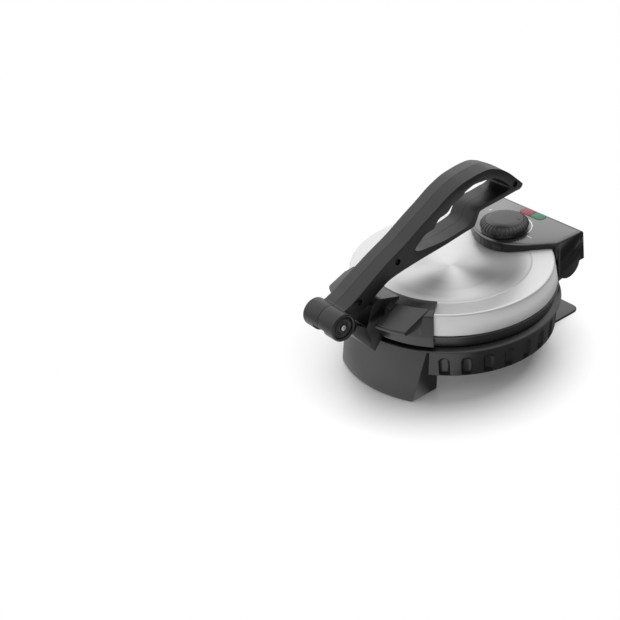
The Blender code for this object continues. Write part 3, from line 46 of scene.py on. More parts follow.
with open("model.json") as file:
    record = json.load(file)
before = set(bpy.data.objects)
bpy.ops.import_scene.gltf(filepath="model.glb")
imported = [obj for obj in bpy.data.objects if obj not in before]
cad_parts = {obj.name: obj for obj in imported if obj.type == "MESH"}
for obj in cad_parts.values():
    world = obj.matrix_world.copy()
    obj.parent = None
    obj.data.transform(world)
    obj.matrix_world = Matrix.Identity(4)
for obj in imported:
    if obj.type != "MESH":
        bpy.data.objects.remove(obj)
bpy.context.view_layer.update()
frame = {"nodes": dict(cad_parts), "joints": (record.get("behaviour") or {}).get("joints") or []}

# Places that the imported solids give. The front is -Y and the hinge is at +Y.
JOINT_AT = {joint["name"]: Vector(joint["pos_m"]) for joint in frame["joints"]}
PIVOT = JOINT_AT["handle_hinge"]
HINGE = JOINT_AT["lid_hinge"]
KNOB = JOINT_AT["knob_turn"]
AXIS_Y = sum(corner[1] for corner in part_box("lid_shell")) / 2

# Fits, in metres: off the floor, between pieces, half the handle's seam, and merged points.
FLOOR_GAP, GAP, HALF_SEAM, WELD = 0.0008, 0.0003, 0.00012, 0.00001
# Radii of bores, wells, posts and recesses.
PIN_BORE, SCREW_WELL, POST, PAD_RECESS = 0.0033, 0.0036, 0.0045, 0.0058
# How deep barrel ends and screw wells lie, how far a cutting shape reaches past a piece, and
# how far the front foot laps the rim.
END_DEPTH, PAST, LAP = 0.0030, 0.01, 0.0004
# A screw's head: its droop as a share of its height, and its recess as shares of its radius.
HEAD_DROOP_SHARE, RECESS_LENGTH_SHARE, RECESS_WIDTH_SHARE = -0.45, 1.15, 0.26
SLOT_DEPTH = 0.02
TURN_STEPS, FLUTED_STEPS, SMALL_STEPS = 192, 720, 48


def linear(hex_colour):
    """Linear red, green and blue of an sRGB hex colour."""
    channels = [int(hex_colour[place:place + 2], 16) / 255 for place in (1, 3, 5)]
    return tuple(value / 12.92 if value <= 0.04045 else ((value + 0.055) / 1.055) ** 2.4
                 for value in channels)


def length(name, description, default):
    return FloatProperty(name=name, description=description, default=default, min=0.0,
                         max=1.0, precision=5, unit="LENGTH")


def strength(name, description, default):
    return FloatProperty(name=name, description=description, default=default, min=0.0,
                         max=500.0)


def angle(name, description, degrees):
    return FloatProperty(name=name, description=description, default=math.radians(degrees),
                         subtype="ANGLE")


def colour(name, description, hex_colour):
    return FloatVectorProperty(name=name, description=description, size=3, min=0.0, max=1.0,
                               default=linear(hex_colour), subtype="COLOR")


# Sizes and colours that a user would change.
class BaseSizes(bpy.types.PropertyGroup):
    rim_radius: length("Rim radius", "Widest radius of the base, at its rim", 0.1192)
    rim_top: length("Rim top", "Height of the rim's inner edge", 0.0632)
    rim_bottom: length("Rim bottom", "Height where the rim meets the fluted wall", 0.0585)
    wall_radius: length("Wall radius", "Outer radius of the fluted wall below the rim", 0.1150)
    foot_radius: length("Wall foot radius", "Outer radius of the fluted wall at its foot", 0.1130)
    wall_bottom: length("Wall bottom", "Height of the fluted wall's lower edge", 0.0270)
    wall_thickness: length("Wall thickness", "Thickness of the fluted wall", 0.0044)
    ledge_radius: length("Ledge radius", "Radius of the ledge that carries the pan", 0.1110)
    ledge_height: length("Ledge height", "Height of the ledge that carries the pan", 0.0577)
    opening_radius: length("Opening radius", "Radius of the opening for the hotplate", 0.1042)
    flute_pitch: angle("Flute pitch", "Angle from one flute to the next", 12)
    flute_first: angle("First flute", "Angle of the first flute from the front", 42)
    flute_last: angle("Last flute", "Angle of the last flute from the front", 162)
    flute_width: length("Flute width", "Width of one flute", 0.0110)
    flute_depth: length("Flute depth", "Depth of one flute", 0.0034)
    flute_top: length("Flute top", "Height of a flute's round end", 0.0500)
    apron_flare: length("Apron flare", "How far the front foot leans out at the floor", 0.0118)
    apron_top_width: length("Apron top width", "Half width of the front foot at the rim", 0.0655)
    apron_foot_width: length("Apron foot width", "Half width of the front foot on the floor",
                             0.0588)
    apron_wall: length("Apron wall", "Wall thickness of the front foot", 0.0030)
    apron_back: length("Apron back", "Distance of its back edges from the lid's axis", 0.0815)


class LidSizes(bpy.types.PropertyGroup):
    foot_radius: length("Lid foot radius", "Outer radius of the steel lid at its lower edge",
                        0.1150)
    bottom: length("Lid bottom", "Height of the steel lid's lower edge", 0.0780)
    top: length("Lid top", "Height of the steel lid's rim", 0.1022)
    wall_taper: length("Lid taper", "How far the lid's wall leans in at the top", 0.0032)
    edge: length("Lid edge", "Radius of the lid's outer edge", 0.0016)
    band: length("Band width", "Width of the flat band round the dish", 0.0238)
    band_drop: length("Band drop", "How far the band falls towards the dish", 0.0008)
    dish_drop: length("Dish drop", "Depth of the dish below the band", 0.0050)
    dish_radius: length("Dish radius", "Radius of the dish's flat middle", 0.0520)
    sheet: length("Sheet thickness", "Thickness of the stainless sheet", 0.0008)
    ring_radius: length("Ring radius", "Widest radius of the black ring under the lid", 0.1162)
    ring_top: length("Ring top", "Height of the black ring's shoulder", 0.0776)
    ring_bottom: length("Ring bottom", "Height of the black ring's lower edge", 0.0639)
    ring_taper: length("Ring taper", "How far the ring leans in at the bottom", 0.0030)


class ControlSizes(bpy.types.PropertyGroup):
    half_width: length("Housing half width", "Half width of the control housing", 0.0660)
    top: length("Housing top", "Height of the control housing", 0.1095)
    arc_radius: length("Front arc radius", "Radius of the housing's round front", 0.0600)
    arc_centre: length("Front arc centre", "Distance of that arc's centre behind the axis",
                       0.1129)
    arc_half_angle: angle("Front arc half angle", "Half of the angle of the round front", 50)
    rear: length("Housing rear", "Distance of its back behind the lid's axis", 0.1407)
    under: length("Housing underside", "Height of the housing's underside", 0.0870)
    cheek: length("Cheek thickness", "Thickness of the two hinge cheeks", 0.0060)
    border: length("Panel border", "Width of the frame round the panel", 0.0026)
    panel: length("Panel thickness", "Thickness of the panel", 0.0016)
    knob_radius: length("Knob radius", "Radius of the knob's grip at its foot", 0.0277)
    knob_height: length("Knob height", "Height of the knob over the panel", 0.0138)
    skirt_radius: length("Knob skirt radius", "Radius of the skirt under the grip", 0.0268)
    skirt_height: length("Knob skirt height", "Height of the skirt under the grip", 0.0046)
    grip_grooves: IntProperty(name="Grip grooves", description="Grooves round the knob",
                              default=36, min=3, max=120)
    lens_length: length("Lens length", "Length of both lenses together", 0.0350)
    lens_width: length("Lens width", "Width of the lenses", 0.0130)
    lens_behind: length("Lens place", "Distance of the lenses behind the lid's axis", 0.1275)


class HandleSizes(bpy.types.PropertyGroup):
    reach: length("Handle reach", "Length of the handle from its pivot", 0.2660)
    rise: length("Handle rise", "Height of the handle over its pivot", 0.1000)
    half_width: length("Handle half width", "Half of the handle's width", 0.0170)
    edge: length("Handle edge", "Rounding of the handle's outer edges", 0.0026)
    crown: length("Handle crown", "How far the handle's top falls to its sides", 0.0016)
    hole_edge: length("Hole edge", "Rounding of the edges of the finger hole", 0.0016)
    seam: length("Seam edge", "Rounding of the edges along the seam", 0.00045)
    barrel_radius: length("Barrel radius", "Radius of the pivot barrel", 0.0155)
    barrel_half: length("Barrel half length", "Half length of the pivot barrel", 0.0248)
    cap_radius: length("Cap radius", "Radius of the caps in the barrel's ends", 0.0118)
    pin_radius: length("Pin head radius", "Radius of the pivot pin's head", 0.0030)


class BracketSizes(bpy.types.PropertyGroup):
    half_angle: angle("Bracket half angle", "Half of the angle that the bracket spans", 37.5)
    wall: length("Bracket wall", "Wall thickness in front of the lid", 0.0024)
    lip_radius: length("Lip radius", "Inner radius of the lip over the lid", 0.0890)
    lip: length("Lip thickness", "Thickness of the lip over the lid", 0.0022)
    lip_end: length("Lip end", "Radius at which the lip bends down", 0.1075)
    bottom: length("Bracket bottom", "Height of the bracket's lower edge", 0.0660)
    wing_inner: length("Wing inner side", "Where a wing starts beside the arm", 0.0275)
    wing_outer: length("Right wing side", "Where the right wing ends", 0.0607)
    wing_outer_left: length("Left wing side", "Where the left wing ends", 0.0690)
    wing_drop: length("Wing drop", "How far a wing falls from its root to its tip", 0.0131)
    wing_reach: length("Wing reach", "Reach of the wings in front of the lid's axis", 0.1369)
    arm_half_width: length("Arm half width", "Half width of the arm", 0.0195)


class Finishes(bpy.types.PropertyGroup):
    housing: colour("Moulded ABS", "Satin black plastic of the base and bracket", "#121213")
    handle: colour("Handle plastic", "Satin black plastic of the handle", "#111112")
    gloss: colour("Polished ABS", "Polished black plastic of the controls", "#0E0E0F")
    knob: colour("Knob plastic", "Matt black plastic of the knob", "#262627")
    stainless: colour("Stainless sheet", "Softly polished lid", "#DADADB")
    plate: colour("Plate coating", "Non-stick coating of the hotplates", "#2B2A2A")
    red: colour("Red lens", "Red indicator lens", "#98304A")
    green: colour("Green lens", "Green indicator lens", "#157454")
    print: colour("Dial print", "White print on the panel", "#F2F2F0")
    floor: colour("Floor", "Studio floor", "#F4F4F4")


# Kinds of node that are added often.
MATH, VECTOR_MATH = "ShaderNodeMath", "ShaderNodeVectorMath"
RAMP, MIX = "ShaderNodeMapRange", "ShaderNodeMix"
JOIN_XYZ, SPLIT_XYZ = "ShaderNodeCombineXYZ", "ShaderNodeSeparateXYZ"


class Value:
    """What an output of a node gives. It is reckoned with like a plain number."""

    def __init__(self, tree, output):
        self.tree = tree
        self.output = output

    def __getitem__(self, name):
        """What another output of the same node gives."""
        return Value(self.tree, self.output.node.outputs[name])

    def __add__(self, other):
        return add(self.tree, MATH, {0: self, 1: other}, operation="ADD")

    def __sub__(self, other):
        return add(self.tree, MATH, {0: self, 1: other}, operation="SUBTRACT")

    def __rsub__(self, other):
        return add(self.tree, MATH, {0: other, 1: self}, operation="SUBTRACT")

    def __mul__(self, other):
        return add(self.tree, MATH, {0: self, 1: other}, operation="MULTIPLY")

    def __truediv__(self, other):
        return add(self.tree, MATH, {0: self, 1: other}, operation="DIVIDE")


def fill(tree, node, inputs):
    """Give inputs of a node their values, or link the values of a tree to them."""
    for name, given in inputs.items():
        for value in given if isinstance(given, list) else [given]:
            if isinstance(value, Value):
                tree.links.new(value.output, node.inputs[name])
            else:
                node.inputs[name].default_value = value


def add(tree, kind, inputs=None, **settings):
    """Add a node with its settings and links, and return what its first live output gives."""
    node = tree.nodes.new(kind)
    for name, value in settings.items():
        setattr(node, name, value)
    fill(tree, node, inputs or {})
    return Value(tree, next((output for output in node.outputs if output.enabled), None))


def between(low, high, start=0.3, end=0.7):
    """Limits of a ramp from low to high, while what it reads goes from start to end."""
    return {"To Min": low, "To Max": high, "From Min": start, "From Max": end}


def open_material(name, constants):
    """A new material, its tree and its shader with these constants on its sockets."""
    material = bpy.data.materials.new(name)
    material.use_nodes = True
    shader = material.node_tree.nodes["Principled BSDF"]
    fill(material.node_tree, shader, constants)
    return material, material.node_tree, shader


def grain(tree, size, detail, stretch=(1, 1, 1)):
    """Noise on Object coordinates whose grains are about this many metres across."""
    where = add(tree, "ShaderNodeTexCoord")["Object"]
    mapped = add(tree, "ShaderNodeMapping", {
        "Vector": where, "Location": (0, -AXIS_Y, 0), "Scale": stretch})
    return add(tree, "ShaderNodeTexNoise", {
        "Vector": mapped, "Scale": 1 / size, "Detail": detail})


def tones(*hex_colours):
    return [(*linear(hex_colour), 1) for hex_colour in hex_colours]


def picked(name, *factors):
    """A colour of the panel, made darker or lighter by each of these factors."""
    base = getattr(bpy.context.scene.roti_finishes, name)
    return [(*(min(1.0, channel * factor) for channel in base), 1) for factor in factors]


def clouded(name, constants, tints, gloss, size, detail=3.0, stretch=(1, 1, 1), depth=0.0,
            fine=0.0):
    """A material with one noise in its colour and gloss, and this or a finer one in relief."""
    material, tree, shader = open_material(name, constants)
    cloud = grain(tree, size, detail, stretch)
    fill(tree, shader, {
        "Base Color": add(tree, MIX, {0: cloud, 6: tints[0], 7: tints[1]}, data_type="RGBA"),
        "Roughness": add(tree, RAMP, {"Value": cloud, **between(*gloss)})})
    if depth:
        relief = grain(tree, fine, 1.0) if fine else cloud
        fill(tree, shader, {"Normal": add(tree, "ShaderNodeBump", {
            "Height": relief, "Distance": depth})})
    return material


def moulded_plastic(name, colour_name, roughness, level, fine, depth):
    """ABS from a spark-eroded mould: an even colour, a fine grain and faint flow marks.

    The mould's grain is too fine to show at this size and is drawn coarser.
    """
    return clouded(name, {"IOR": 1.53, "Specular IOR Level": level},
                   picked(colour_name, 0.86, 1.14), (roughness - 0.03, roughness + 0.04),
                   size=0.030, fine=fine, depth=depth)


def satin_moulded_abs():
    """ABS of the body, moulded against a finely blasted wall: near black, with a satin look."""
    return moulded_plastic("satin_moulded_abs", "housing", 0.32, 0.74, 0.0006, 0.00001)


def satin_handle_abs():
    """ABS of the handle, moulded in two halves: the same satin look, and a little darker."""
    return moulded_plastic("satin_handle_abs", "handle", 0.34, 0.48, 0.0006, 0.00001)


def polished_abs():
    """ABS from a polished mould: deep black with a clear gloss and the faintest waviness."""
    return moulded_plastic("polished_abs", "gloss", 0.16, 0.42, 0.0040, 0.000004)


def matt_knob_abs():
    """ABS with a finely etched face: it greys softly under light and hides fingerprints."""
    return moulded_plastic("matt_knob_abs", "knob", 0.46, 0.94, 0.0005, 0.00002)


def printed_panel():
    """Black polycarbonate film under a clear gloss: it mirrors the room as an even grey."""
    return clouded("printed_panel", {"IOR": 1.65, "Coat Weight": 1.0, "Coat Roughness": 0.26,
                                     "Coat IOR": 1.8},
                   picked("gloss", 1.0, 1.5), (0.30, 0.36), size=0.0015, detail=2.0)


def round_the_lid(tree):
    """Radius, turn and height of a place about the lid's axis."""
    where = add(tree, "ShaderNodeTexCoord")["Object"]
    moved = add(tree, VECTOR_MATH, {0: where, 1: (0, AXIS_Y, 0)}, operation="SUBTRACT")
    place = add(tree, SPLIT_XYZ, {"Vector": moved})
    flat = add(tree, JOIN_XYZ, {"X": place["X"], "Y": place["Y"]})
    radius = add(tree, VECTOR_MATH, {0: flat}, operation="LENGTH")
    turn = add(tree, MATH, {0: place["Y"], 1: place["X"]}, operation="ARCTAN2")
    return radius, turn, place["Z"]


def spun_rings(tree, width):
    """Noise that runs in circles round the lid's axis, as on what is brushed as it spins.

    Real rings are too fine to show at this size, so these are drawn coarser.
    """
    radius, _, height = round_the_lid(tree)
    return add(tree, "ShaderNodeTexNoise", {
        "W": height + radius, "Scale": 1 / width, "Detail": 2.0}, noise_dimensions="1D")


# Painted shade in the dish, in fans standing in for reflection: their count and first peak, the side
# where the shade is deepest, and how they fade.
FAN_COUNT, FAN_PEAK, FAN_DEEPEST_SIDE = 4, 18, -45
FAN_START, FAN_END = between(0.0, 1.0, 0.004, 0.036), between(1.0, 0.0, 0.070, 0.090)
PAINTED_FAN_SHADE = 0.36


def light_fans(tree):
    """Painted shade: soft dark sectors round the lid's axis, standing in for the fans of reflection
    that spun steel shows in its dish.
    """
    radius, turn, _ = round_the_lid(tree)
    waves = []
    for count, peak in ((FAN_COUNT, FAN_PEAK), (1, FAN_DEEPEST_SIDE)):
        angle_from_peak = add(tree, MATH, {0: turn, 1: count, 2: -count * math.radians(peak)},
                              operation="MULTIPLY_ADD")
        swing = add(tree, MATH, {0: angle_from_peak}, operation="COSINE")
        waves.append(add(tree, RAMP, {"Value": swing, **between(0.0, 1.0, -1.0, 1.0)}))
    inside = (add(tree, RAMP, {"Value": radius, **FAN_START})
              * add(tree, RAMP, {"Value": radius, **FAN_END}))
    return waves[0] * waves[1] * inside


def polished_stainless():
    """Stainless sheet, spun and softly polished: bright, with painted shade in fans in its dish,
    standing in for its reflection.
    """
    material, tree, shader = open_material(
        "polished_stainless", {"Metallic": 0.60, "Anisotropic": 0.8})
    rings = spun_rings(tree, 0.0004)
    bright, shade = picked("stainless", 1.0, PAINTED_FAN_SHADE)
    fill(tree, shader, {
        # The steel's own colour, darkened in fans by painted shade.
        "Base Color": add(tree, MIX, {0: light_fans(tree), 6: bright, 7: shade},
                          data_type="RGBA"),
        "Roughness": add(tree, RAMP, {"Value": rings, **between(0.41, 0.44)}),
        "Tangent": add(tree, "ShaderNodeTangent", direction_type="RADIAL", axis="Z"),
        "Normal": add(tree, "ShaderNodeBump", {"Height": rings, "Distance": 0.0000003})})
    return material


def nonstick_coating():
    """Cast aluminium under a baked non-stick coat: charcoal with fine pale flecks."""
    material, tree, shader = open_material("nonstick_coating", {"IOR": 1.38})
    few = add(tree, RAMP, {"Value": grain(tree, 0.0009, 1.0), **between(0.0, 1.0, 0.66, 0.78)})
    turned = spun_rings(tree, 0.0011)
    coat, fleck = picked("plate", 1.0, 3.2)
    fill(tree, shader, {
        "Base Color": add(tree, MIX, {0: few, 6: coat, 7: fleck}, data_type="RGBA"),
        "Roughness": add(tree, RAMP, {"Value": turned, **between(0.36, 0.48)}),
        "Normal": add(tree, "ShaderNodeBump", {"Height": turned, "Distance": 0.000012})})
    return material


def bare_metal(name, dark, light, gloss, size, **further):
    return clouded(name, {"Metallic": 1.0}, tones(dark, light), gloss, size,
                   **further)


def pressed_steel():
    """Plain sheet as it comes from the press: grey, with faint rolling lines, drawn coarser."""
    return bare_metal("pressed_steel", "#A9AAAC", "#BCBDBE", (0.32, 0.44), 0.0009, detail=2.0,
                      stretch=(1, 0.04, 1), depth=0.000006)


def plated_steel():
    """Bright zinc plate on screws and pins, with small dull spots."""
    return bare_metal("plated_steel", "#B9BABB", "#D8D8D6", (0.20, 0.36), 0.0012)


def blackened_steel():
    """Screws blacked in hot oil: dark, with a dull oily sheen."""
    return bare_metal("blackened_steel", "#1C1C1E", "#2C2C2F", (0.34, 0.50), 0.0010)


def heated_tube():
    """Steel sheath of a heating element, blued and browned by its own heat."""
    return bare_metal("heated_tube", "#5B5650", "#6E6A70", (0.35, 0.55), 0.012)


def soft_rubber():
    """Moulded rubber: nearly black and matt, with a dusty grain."""
    return clouded("soft_rubber", {"IOR": 1.52}, tones("#171717", "#252525"),
                   (0.72, 0.88), 0.0008, depth=0.00003)


def pale_solid(name, dark, light, roughness, size):
    return clouded(name, {"IOR": 1.53}, tones(dark, light),
                   (roughness - 0.05, roughness + 0.05), size, detail=4.0, depth=0.00002)


def steatite_ceramic():
    """Steatite, pressed and fired without a glaze: a dry, chalky cream."""
    return pale_solid("steatite_ceramic", "#CFC8BA", "#E3DDD0", 0.62, 0.0015)


def natural_nylon():
    """Undyed nylon, moulded: milky, smooth and slightly cloudy."""
    return pale_solid("natural_nylon", "#D3D0C6", "#E2DFD6", 0.42, 0.006)


def tinted_lens(name, colour_name):
    return clouded(name, {"IOR": 1.49, "Transmission Weight": 0.1},
                   picked(colour_name, 0.9, 1.15), (0.20, 0.28), 0.004, detail=1.0)


def red_acrylic():
    """Acrylic dyed red and moulded: a deep even tint, lighter in cloudy patches."""
    return tinted_lens("red_acrylic", "red")


def green_acrylic():
    """Acrylic dyed green and moulded: a deep even tint, lighter in cloudy patches."""
    return tinted_lens("green_acrylic", "green")


def lamp_glass():
    """Clear glass of a small neon lamp on a pale base."""
    return clouded("lamp_glass", {"IOR": 1.5, "Transmission Weight": 0.6},
                   tones("#E4DED2", "#F4F1EA"), (0.05, 0.12), 0.002, detail=2.0)


def pad_print():
    """White pad print on the panel, a little worn and matt."""
    return clouded("pad_print", {"IOR": 1.5}, picked("print", 0.82, 1.0), (0.4, 0.55), 0.0012)


# Each finish: the function that makes it and the record's material slot.
FINISHES = {
    "housing": (satin_moulded_abs, "housing_plastic"),
    "handle": (satin_handle_abs, "handle_plastic"),
    "gloss": (polished_abs, "gloss_black"),
    "stainless": (polished_stainless, "lid_stainless"),
    "sheet": (pressed_steel, "inner_steel"),
    "tube": (heated_tube, "element_steel"),
    "bright": (plated_steel, "screw_steel"),
    "dark": (blackened_steel, "screw_steel"),
    "panel": (printed_panel, "gloss_black"),
    "knob": (matt_knob_abs, "gloss_black"),
    "plate": (nonstick_coating, "nonstick_plate"),
    "rubber": (soft_rubber, "foot_rubber"),
    "ceramic": (steatite_ceramic, "ceramic"),
    "nylon": (natural_nylon, "nylon"),
    "red": (red_acrylic, "red_lens"),
    "green": (green_acrylic, "green_lens"),
    "lamp": (lamp_glass, "lamp_glass"),
    "print": (pad_print, "gloss_black"),
}


def finish(name):
    """The material of a finish, made when it is first asked for."""
    maker = FINISHES[name][0]
    return bpy.data.materials.get(maker.__name__) or maker()


# Lines. A point is a pair: (x, y) or (radius, height) or (y, height).
def arc(centre, radius, start, end, count):
    """Points along part of a circle."""
    step = (end - start) / count
    return [(centre[0] + radius * math.cos(start + step * index),
             centre[1] + radius * math.sin(start + step * index))
            for index in range(count + 1)]


def rounded(points, radius, closed=True, steps=5):
    """Round the corners of a line. A radius may be one number or a list, one a corner."""
    result = []
    last = len(points) - 1
    for place, corner in enumerate(points):
        size = radius[place] if isinstance(radius, (list, tuple)) else radius
        if size <= 0 or (not closed and place in (0, last)):
            result.append(tuple(corner))
            continue
        here = Vector(corner)
        back = Vector(points[place - 1]) - here
        ahead = Vector(points[(place + 1) % len(points)]) - here
        reach = min(size, back.length * 0.48, ahead.length * 0.48)
        start = here + back.normalized() * reach
        end = here + ahead.normalized() * reach
        for step in range(steps + 1):
            share = step / steps
            result.append(tuple(start.lerp(here, share).lerp(here.lerp(end, share), share)))
    return result


def smoothed(points, steps=4):
    """A closed line drawn smoothly through all of its points."""
    result = []
    count = len(points)
    for place in range(count):
        before, start, end, after = (Vector(points[(place + offset) % count])
                                     for offset in (-1, 0, 1, 2))
        for step in range(steps):
            share = step / steps
            bend = (end - before) * share + (before * 2 - start * 5 + end * 4 - after) \
                * share ** 2 + (start * 3 - before - end * 3 + after) * share ** 3
            result.append(tuple(start + bend / 2))
    return result


def divided(start, end, count):
    """Points between two points, without the first and the last."""
    first, last = Vector(start), Vector(end)
    return [tuple(first.lerp(last, index / count)) for index in range(1, count)]


def rod(radius, low, high, *edges, steps=5):
    """The line of a plain rod. Its upper and its lower edge may be rounded."""
    line = [(0, high), (radius, high), (radius, low), (0, low)]
    return rounded(line, [0, *edges, 0], steps=steps) if edges else line


def under(node):
    """The point of the floor under the middle of a solid."""
    low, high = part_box(node)
    return (low[0] + high[0]) / 2, (low[1] + high[1]) / 2, 0


# Meshes.
def new_piece(name, mesh):
    mesh.name = name
    piece = bpy.data.objects.new(name, mesh)
    bpy.context.scene.collection.objects.link(piece)
    return piece


def tidy(piece, flat=False):
    """Merge doubles, join faces that lie in one plane and turn every face outwards."""
    shape = bmesh.new()
    shape.from_mesh(piece.data)
    bmesh.ops.remove_doubles(shape, verts=shape.verts, dist=WELD)
    bare = [edge for edge in shape.edges if not edge.link_faces]
    bmesh.ops.delete(shape, geom=bare, context="EDGES")
    if flat:
        bmesh.ops.dissolve_limit(shape, angle_limit=math.radians(0.2), verts=shape.verts,
                                 edges=shape.edges)
    bmesh.ops.recalc_face_normals(shape, faces=shape.faces)
    shape.to_mesh(piece.data)
    shape.free()
    return piece


def mesh_piece(name, points, faces):
    mesh = bpy.data.meshes.new(name)
    mesh.from_pydata(points, [], faces)
    return tidy(new_piece(name, mesh))


def lathe(name, profile, steps=TURN_STEPS, start=0.0, sweep=2 * math.pi, centre=None):
    """Turn a closed line of (radius, height) about an upright axis. A part turn gets ends."""
    whole = sweep > 2 * math.pi - WELD
    columns = steps if whole else steps + 1
    rows = len(profile)
    middle = Vector((0, AXIS_Y, 0)) if centre is None else Vector(centre)
    points = []
    for column in range(columns):
        turn = start + sweep * column / steps
        points += [(middle.x + radius * math.sin(turn), middle.y - radius * math.cos(turn),
                    middle.z + height) for radius, height in profile]
    faces = []
    for column in range(steps):
        following = (column + 1) % columns
        for row in range(rows):
            below = (row + 1) % rows
            faces.append((column * rows + row, column * rows + below,
                          following * rows + below, following * rows + row))
    if not whole:
        faces.append(tuple(range(rows)))
        faces.append(tuple(range(steps * rows, steps * rows + rows)))
    return mesh_piece(name, points, faces)


def lathe_along_x(name, profile, centre, side=1, steps=SMALL_STEPS):
    """Turn a line of (radius, distance) about an axis along X, outwards on this side."""
    piece = lathe(name, profile, steps, centre=(0, 0, 0))
    turn = Matrix.Rotation(side * math.pi / 2, 4, "Y")
    piece.data.transform(Matrix.Translation(centre) @ turn)
    return piece


def loft(name, rings):
    """Join closed lines with the same count of points into a solid with flat ends."""
    count = len(rings[0])
    points = [point for ring in rings for point in ring]
    faces = [tuple(range(count)), tuple(range(len(points) - count, len(points)))]
    for ring in range(len(rings) - 1):
        for place in range(count):
            ahead = (place + 1) % count
            faces.append((ring * count + place, ring * count + ahead,
                          (ring + 1) * count + ahead, (ring + 1) * count + place))
    return mesh_piece(name, points, faces)


def prism(name, outlines, low, high, upright=True):
    """A flat outline, with any holes, made solid. It lies in XY, or in YZ if not upright."""
    curve = bpy.data.curves.new(name, "CURVE")
    curve.dimensions = "2D"
    curve.fill_mode = "BOTH"
    curve.extrude = (high - low) / 2
    for outline in outlines:
        spline = curve.splines.new("POLY")
        spline.points.add(len(outline) - 1)
        for point, (across, up) in zip(spline.points, outline):
            point.co = (across, up, 0, 1)
        spline.use_cyclic_u = True
    flat = new_object_from(name, curve)
    if upright:
        place = Matrix.Translation((0, AXIS_Y, (low + high) / 2))
    else:
        turn = Matrix(((0, 0, 1, 0), (1, 0, 0, 0), (0, 1, 0, 0), (0, 0, 0, 1)))
        place = Matrix.Translation(((low + high) / 2, AXIS_Y, 0)) @ turn
    flat.data.transform(place)
    return tidy(flat, flat=True)


def finished_mesh(source):
    """The mesh that an object's curve or modifiers come to."""
    bpy.context.view_layer.update()
    graph = bpy.context.evaluated_depsgraph_get()
    return bpy.data.meshes.new_from_object(source.evaluated_get(graph))


def new_object_from(name, curve):
    """The plain mesh piece of a curve."""
    source = bpy.data.objects.new(name, curve)
    bpy.context.scene.collection.objects.link(source)
    mesh = finished_mesh(source)
    bpy.data.objects.remove(source, do_unlink=True)
    bpy.data.curves.remove(curve)
    return new_piece(name, mesh)


def box(name, low, high):
    """A block between two corners, given about the lid's axis."""
    outline = [(low[0], low[1]), (high[0], low[1]), (high[0], high[1]), (low[0], high[1])]
    return prism(name, [outline], low[2], high[2])


def bake(piece):
    """Put a piece's modifiers into its mesh."""
    mesh, old = finished_mesh(piece), piece.data
    piece.modifiers.clear()
    piece.data = mesh
    bpy.data.meshes.remove(old)
    mesh.name = piece.name
    return piece


def combine(piece, tool, operation):
    change = piece.modifiers.new(operation.lower(), "BOOLEAN")
    change.operation = operation
    change.solver = "EXACT"
    change.object = tool
    bake(piece)
    bpy.data.objects.remove(tool, do_unlink=True)


def cut(piece, *tools):
    for tool in tools:
        combine(piece, tool, "DIFFERENCE")


def join(piece, *tools):
    for tool in tools:
        combine(piece, tool, "UNION")
    return piece


def keep_common(piece, tool):
    combine(piece, tool, "INTERSECT")


def round_edges(piece, width, segments=3, degrees=40):
    """Round every edge that is sharper than this."""
    tidy(piece, flat=True)
    bevel = piece.modifiers.new("edges", "BEVEL")
    bevel.width = width
    bevel.segments = segments
    bevel.limit_method = "ANGLE"
    bevel.angle_limit = math.radians(degrees)
    bevel.miter_outer = "MITER_ARC"
    return bake(piece)


def round_chosen(piece, width, segments, weight_of, held_back=True):
    """Round edges by a weight that a function gives for each sharp edge."""
    shape = bmesh.new()
    shape.from_mesh(piece.data)
    weight = shape.edges.layers.float.new("bevel_weight_edge")
    for edge in shape.edges:
        if edge.is_manifold and edge.calc_face_angle() > math.radians(50):
            edge[weight] = weight_of(edge)
    shape.to_mesh(piece.data)
    shape.free()
    bevel = piece.modifiers.new("chosen_edges", "BEVEL")
    bevel.width = width
    bevel.segments = segments
    bevel.limit_method = "WEIGHT"
    bevel.use_clamp_overlap = held_back
    return bake(piece)


def upper_edges(height):
    """A weight for round_chosen: one on every edge that lies this high, and else nought."""
    return lambda edge: float(all(vert.co.z > height - WELD for vert in edge.verts))


def dress(piece, body, finish_name, stands_for=(), sharp=38):
    """Shade a finished piece, give it its material and let it ride on its body."""
    piece.data.shade_smooth()
    piece.data.set_sharp_from_angle(angle=math.radians(sharp))
    piece.data.materials.clear()
    piece.data.materials.append(finish(finish_name))
    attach(piece, body)
    if stands_for:
        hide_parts(*stands_for)


def even_normals(piece):
    """Let the big faces set the shading beside rounded edges."""
    even = piece.modifiers.new("even_normals", "WEIGHTED_NORMAL")
    even.keep_sharp = True
    return bake(piece)


def paint(node_name, finish_name):
    """Give a solid that stays as it is its material."""
    node = frame["nodes"][node_name]
    node.data.materials.clear()
    node.data.materials.append(finish(finish_name))


# Geometry Nodes trees.
def open_tree(name, numbers, **others):
    """A new tree with Geometry, Material and further inputs, and what these give."""
    tree = bpy.data.node_groups.new(name, "GeometryNodeTree")
    kinds = {"Geometry": "Geometry", **dict.fromkeys(numbers, "Float"), **others,
             "Material": "Material"}
    for label, kind in kinds.items():
        tree.interface.new_socket(label, in_out="INPUT", socket_type="NodeSocket" + kind)
    tree.interface.new_socket("Geometry", in_out="OUTPUT", socket_type="NodeSocketGeometry")
    return tree, add(tree, "NodeGroupInput")


def close_tree(tree, geometry, material):
    """End a tree in real, coloured geometry."""
    real = add(tree, "GeometryNodeRealizeInstances", {"Geometry": geometry})
    coloured = add(tree, "GeometryNodeSetMaterial", {"Geometry": real, "Material": material})
    add(tree, "NodeGroupOutput", {"Geometry": coloured})
    return tree


def run_tree(piece, tree, values):
    """Run a tree on a piece with these inputs, and keep the result as its plain mesh."""
    change = piece.modifiers.new(tree.name, "NODES")
    change.node_group = tree
    for item in tree.interface.items_tree:
        if item.item_type == "SOCKET" and item.in_out == "INPUT" and item.name in values:
            change[item.identifier] = values[item.name]
    return bake(piece)


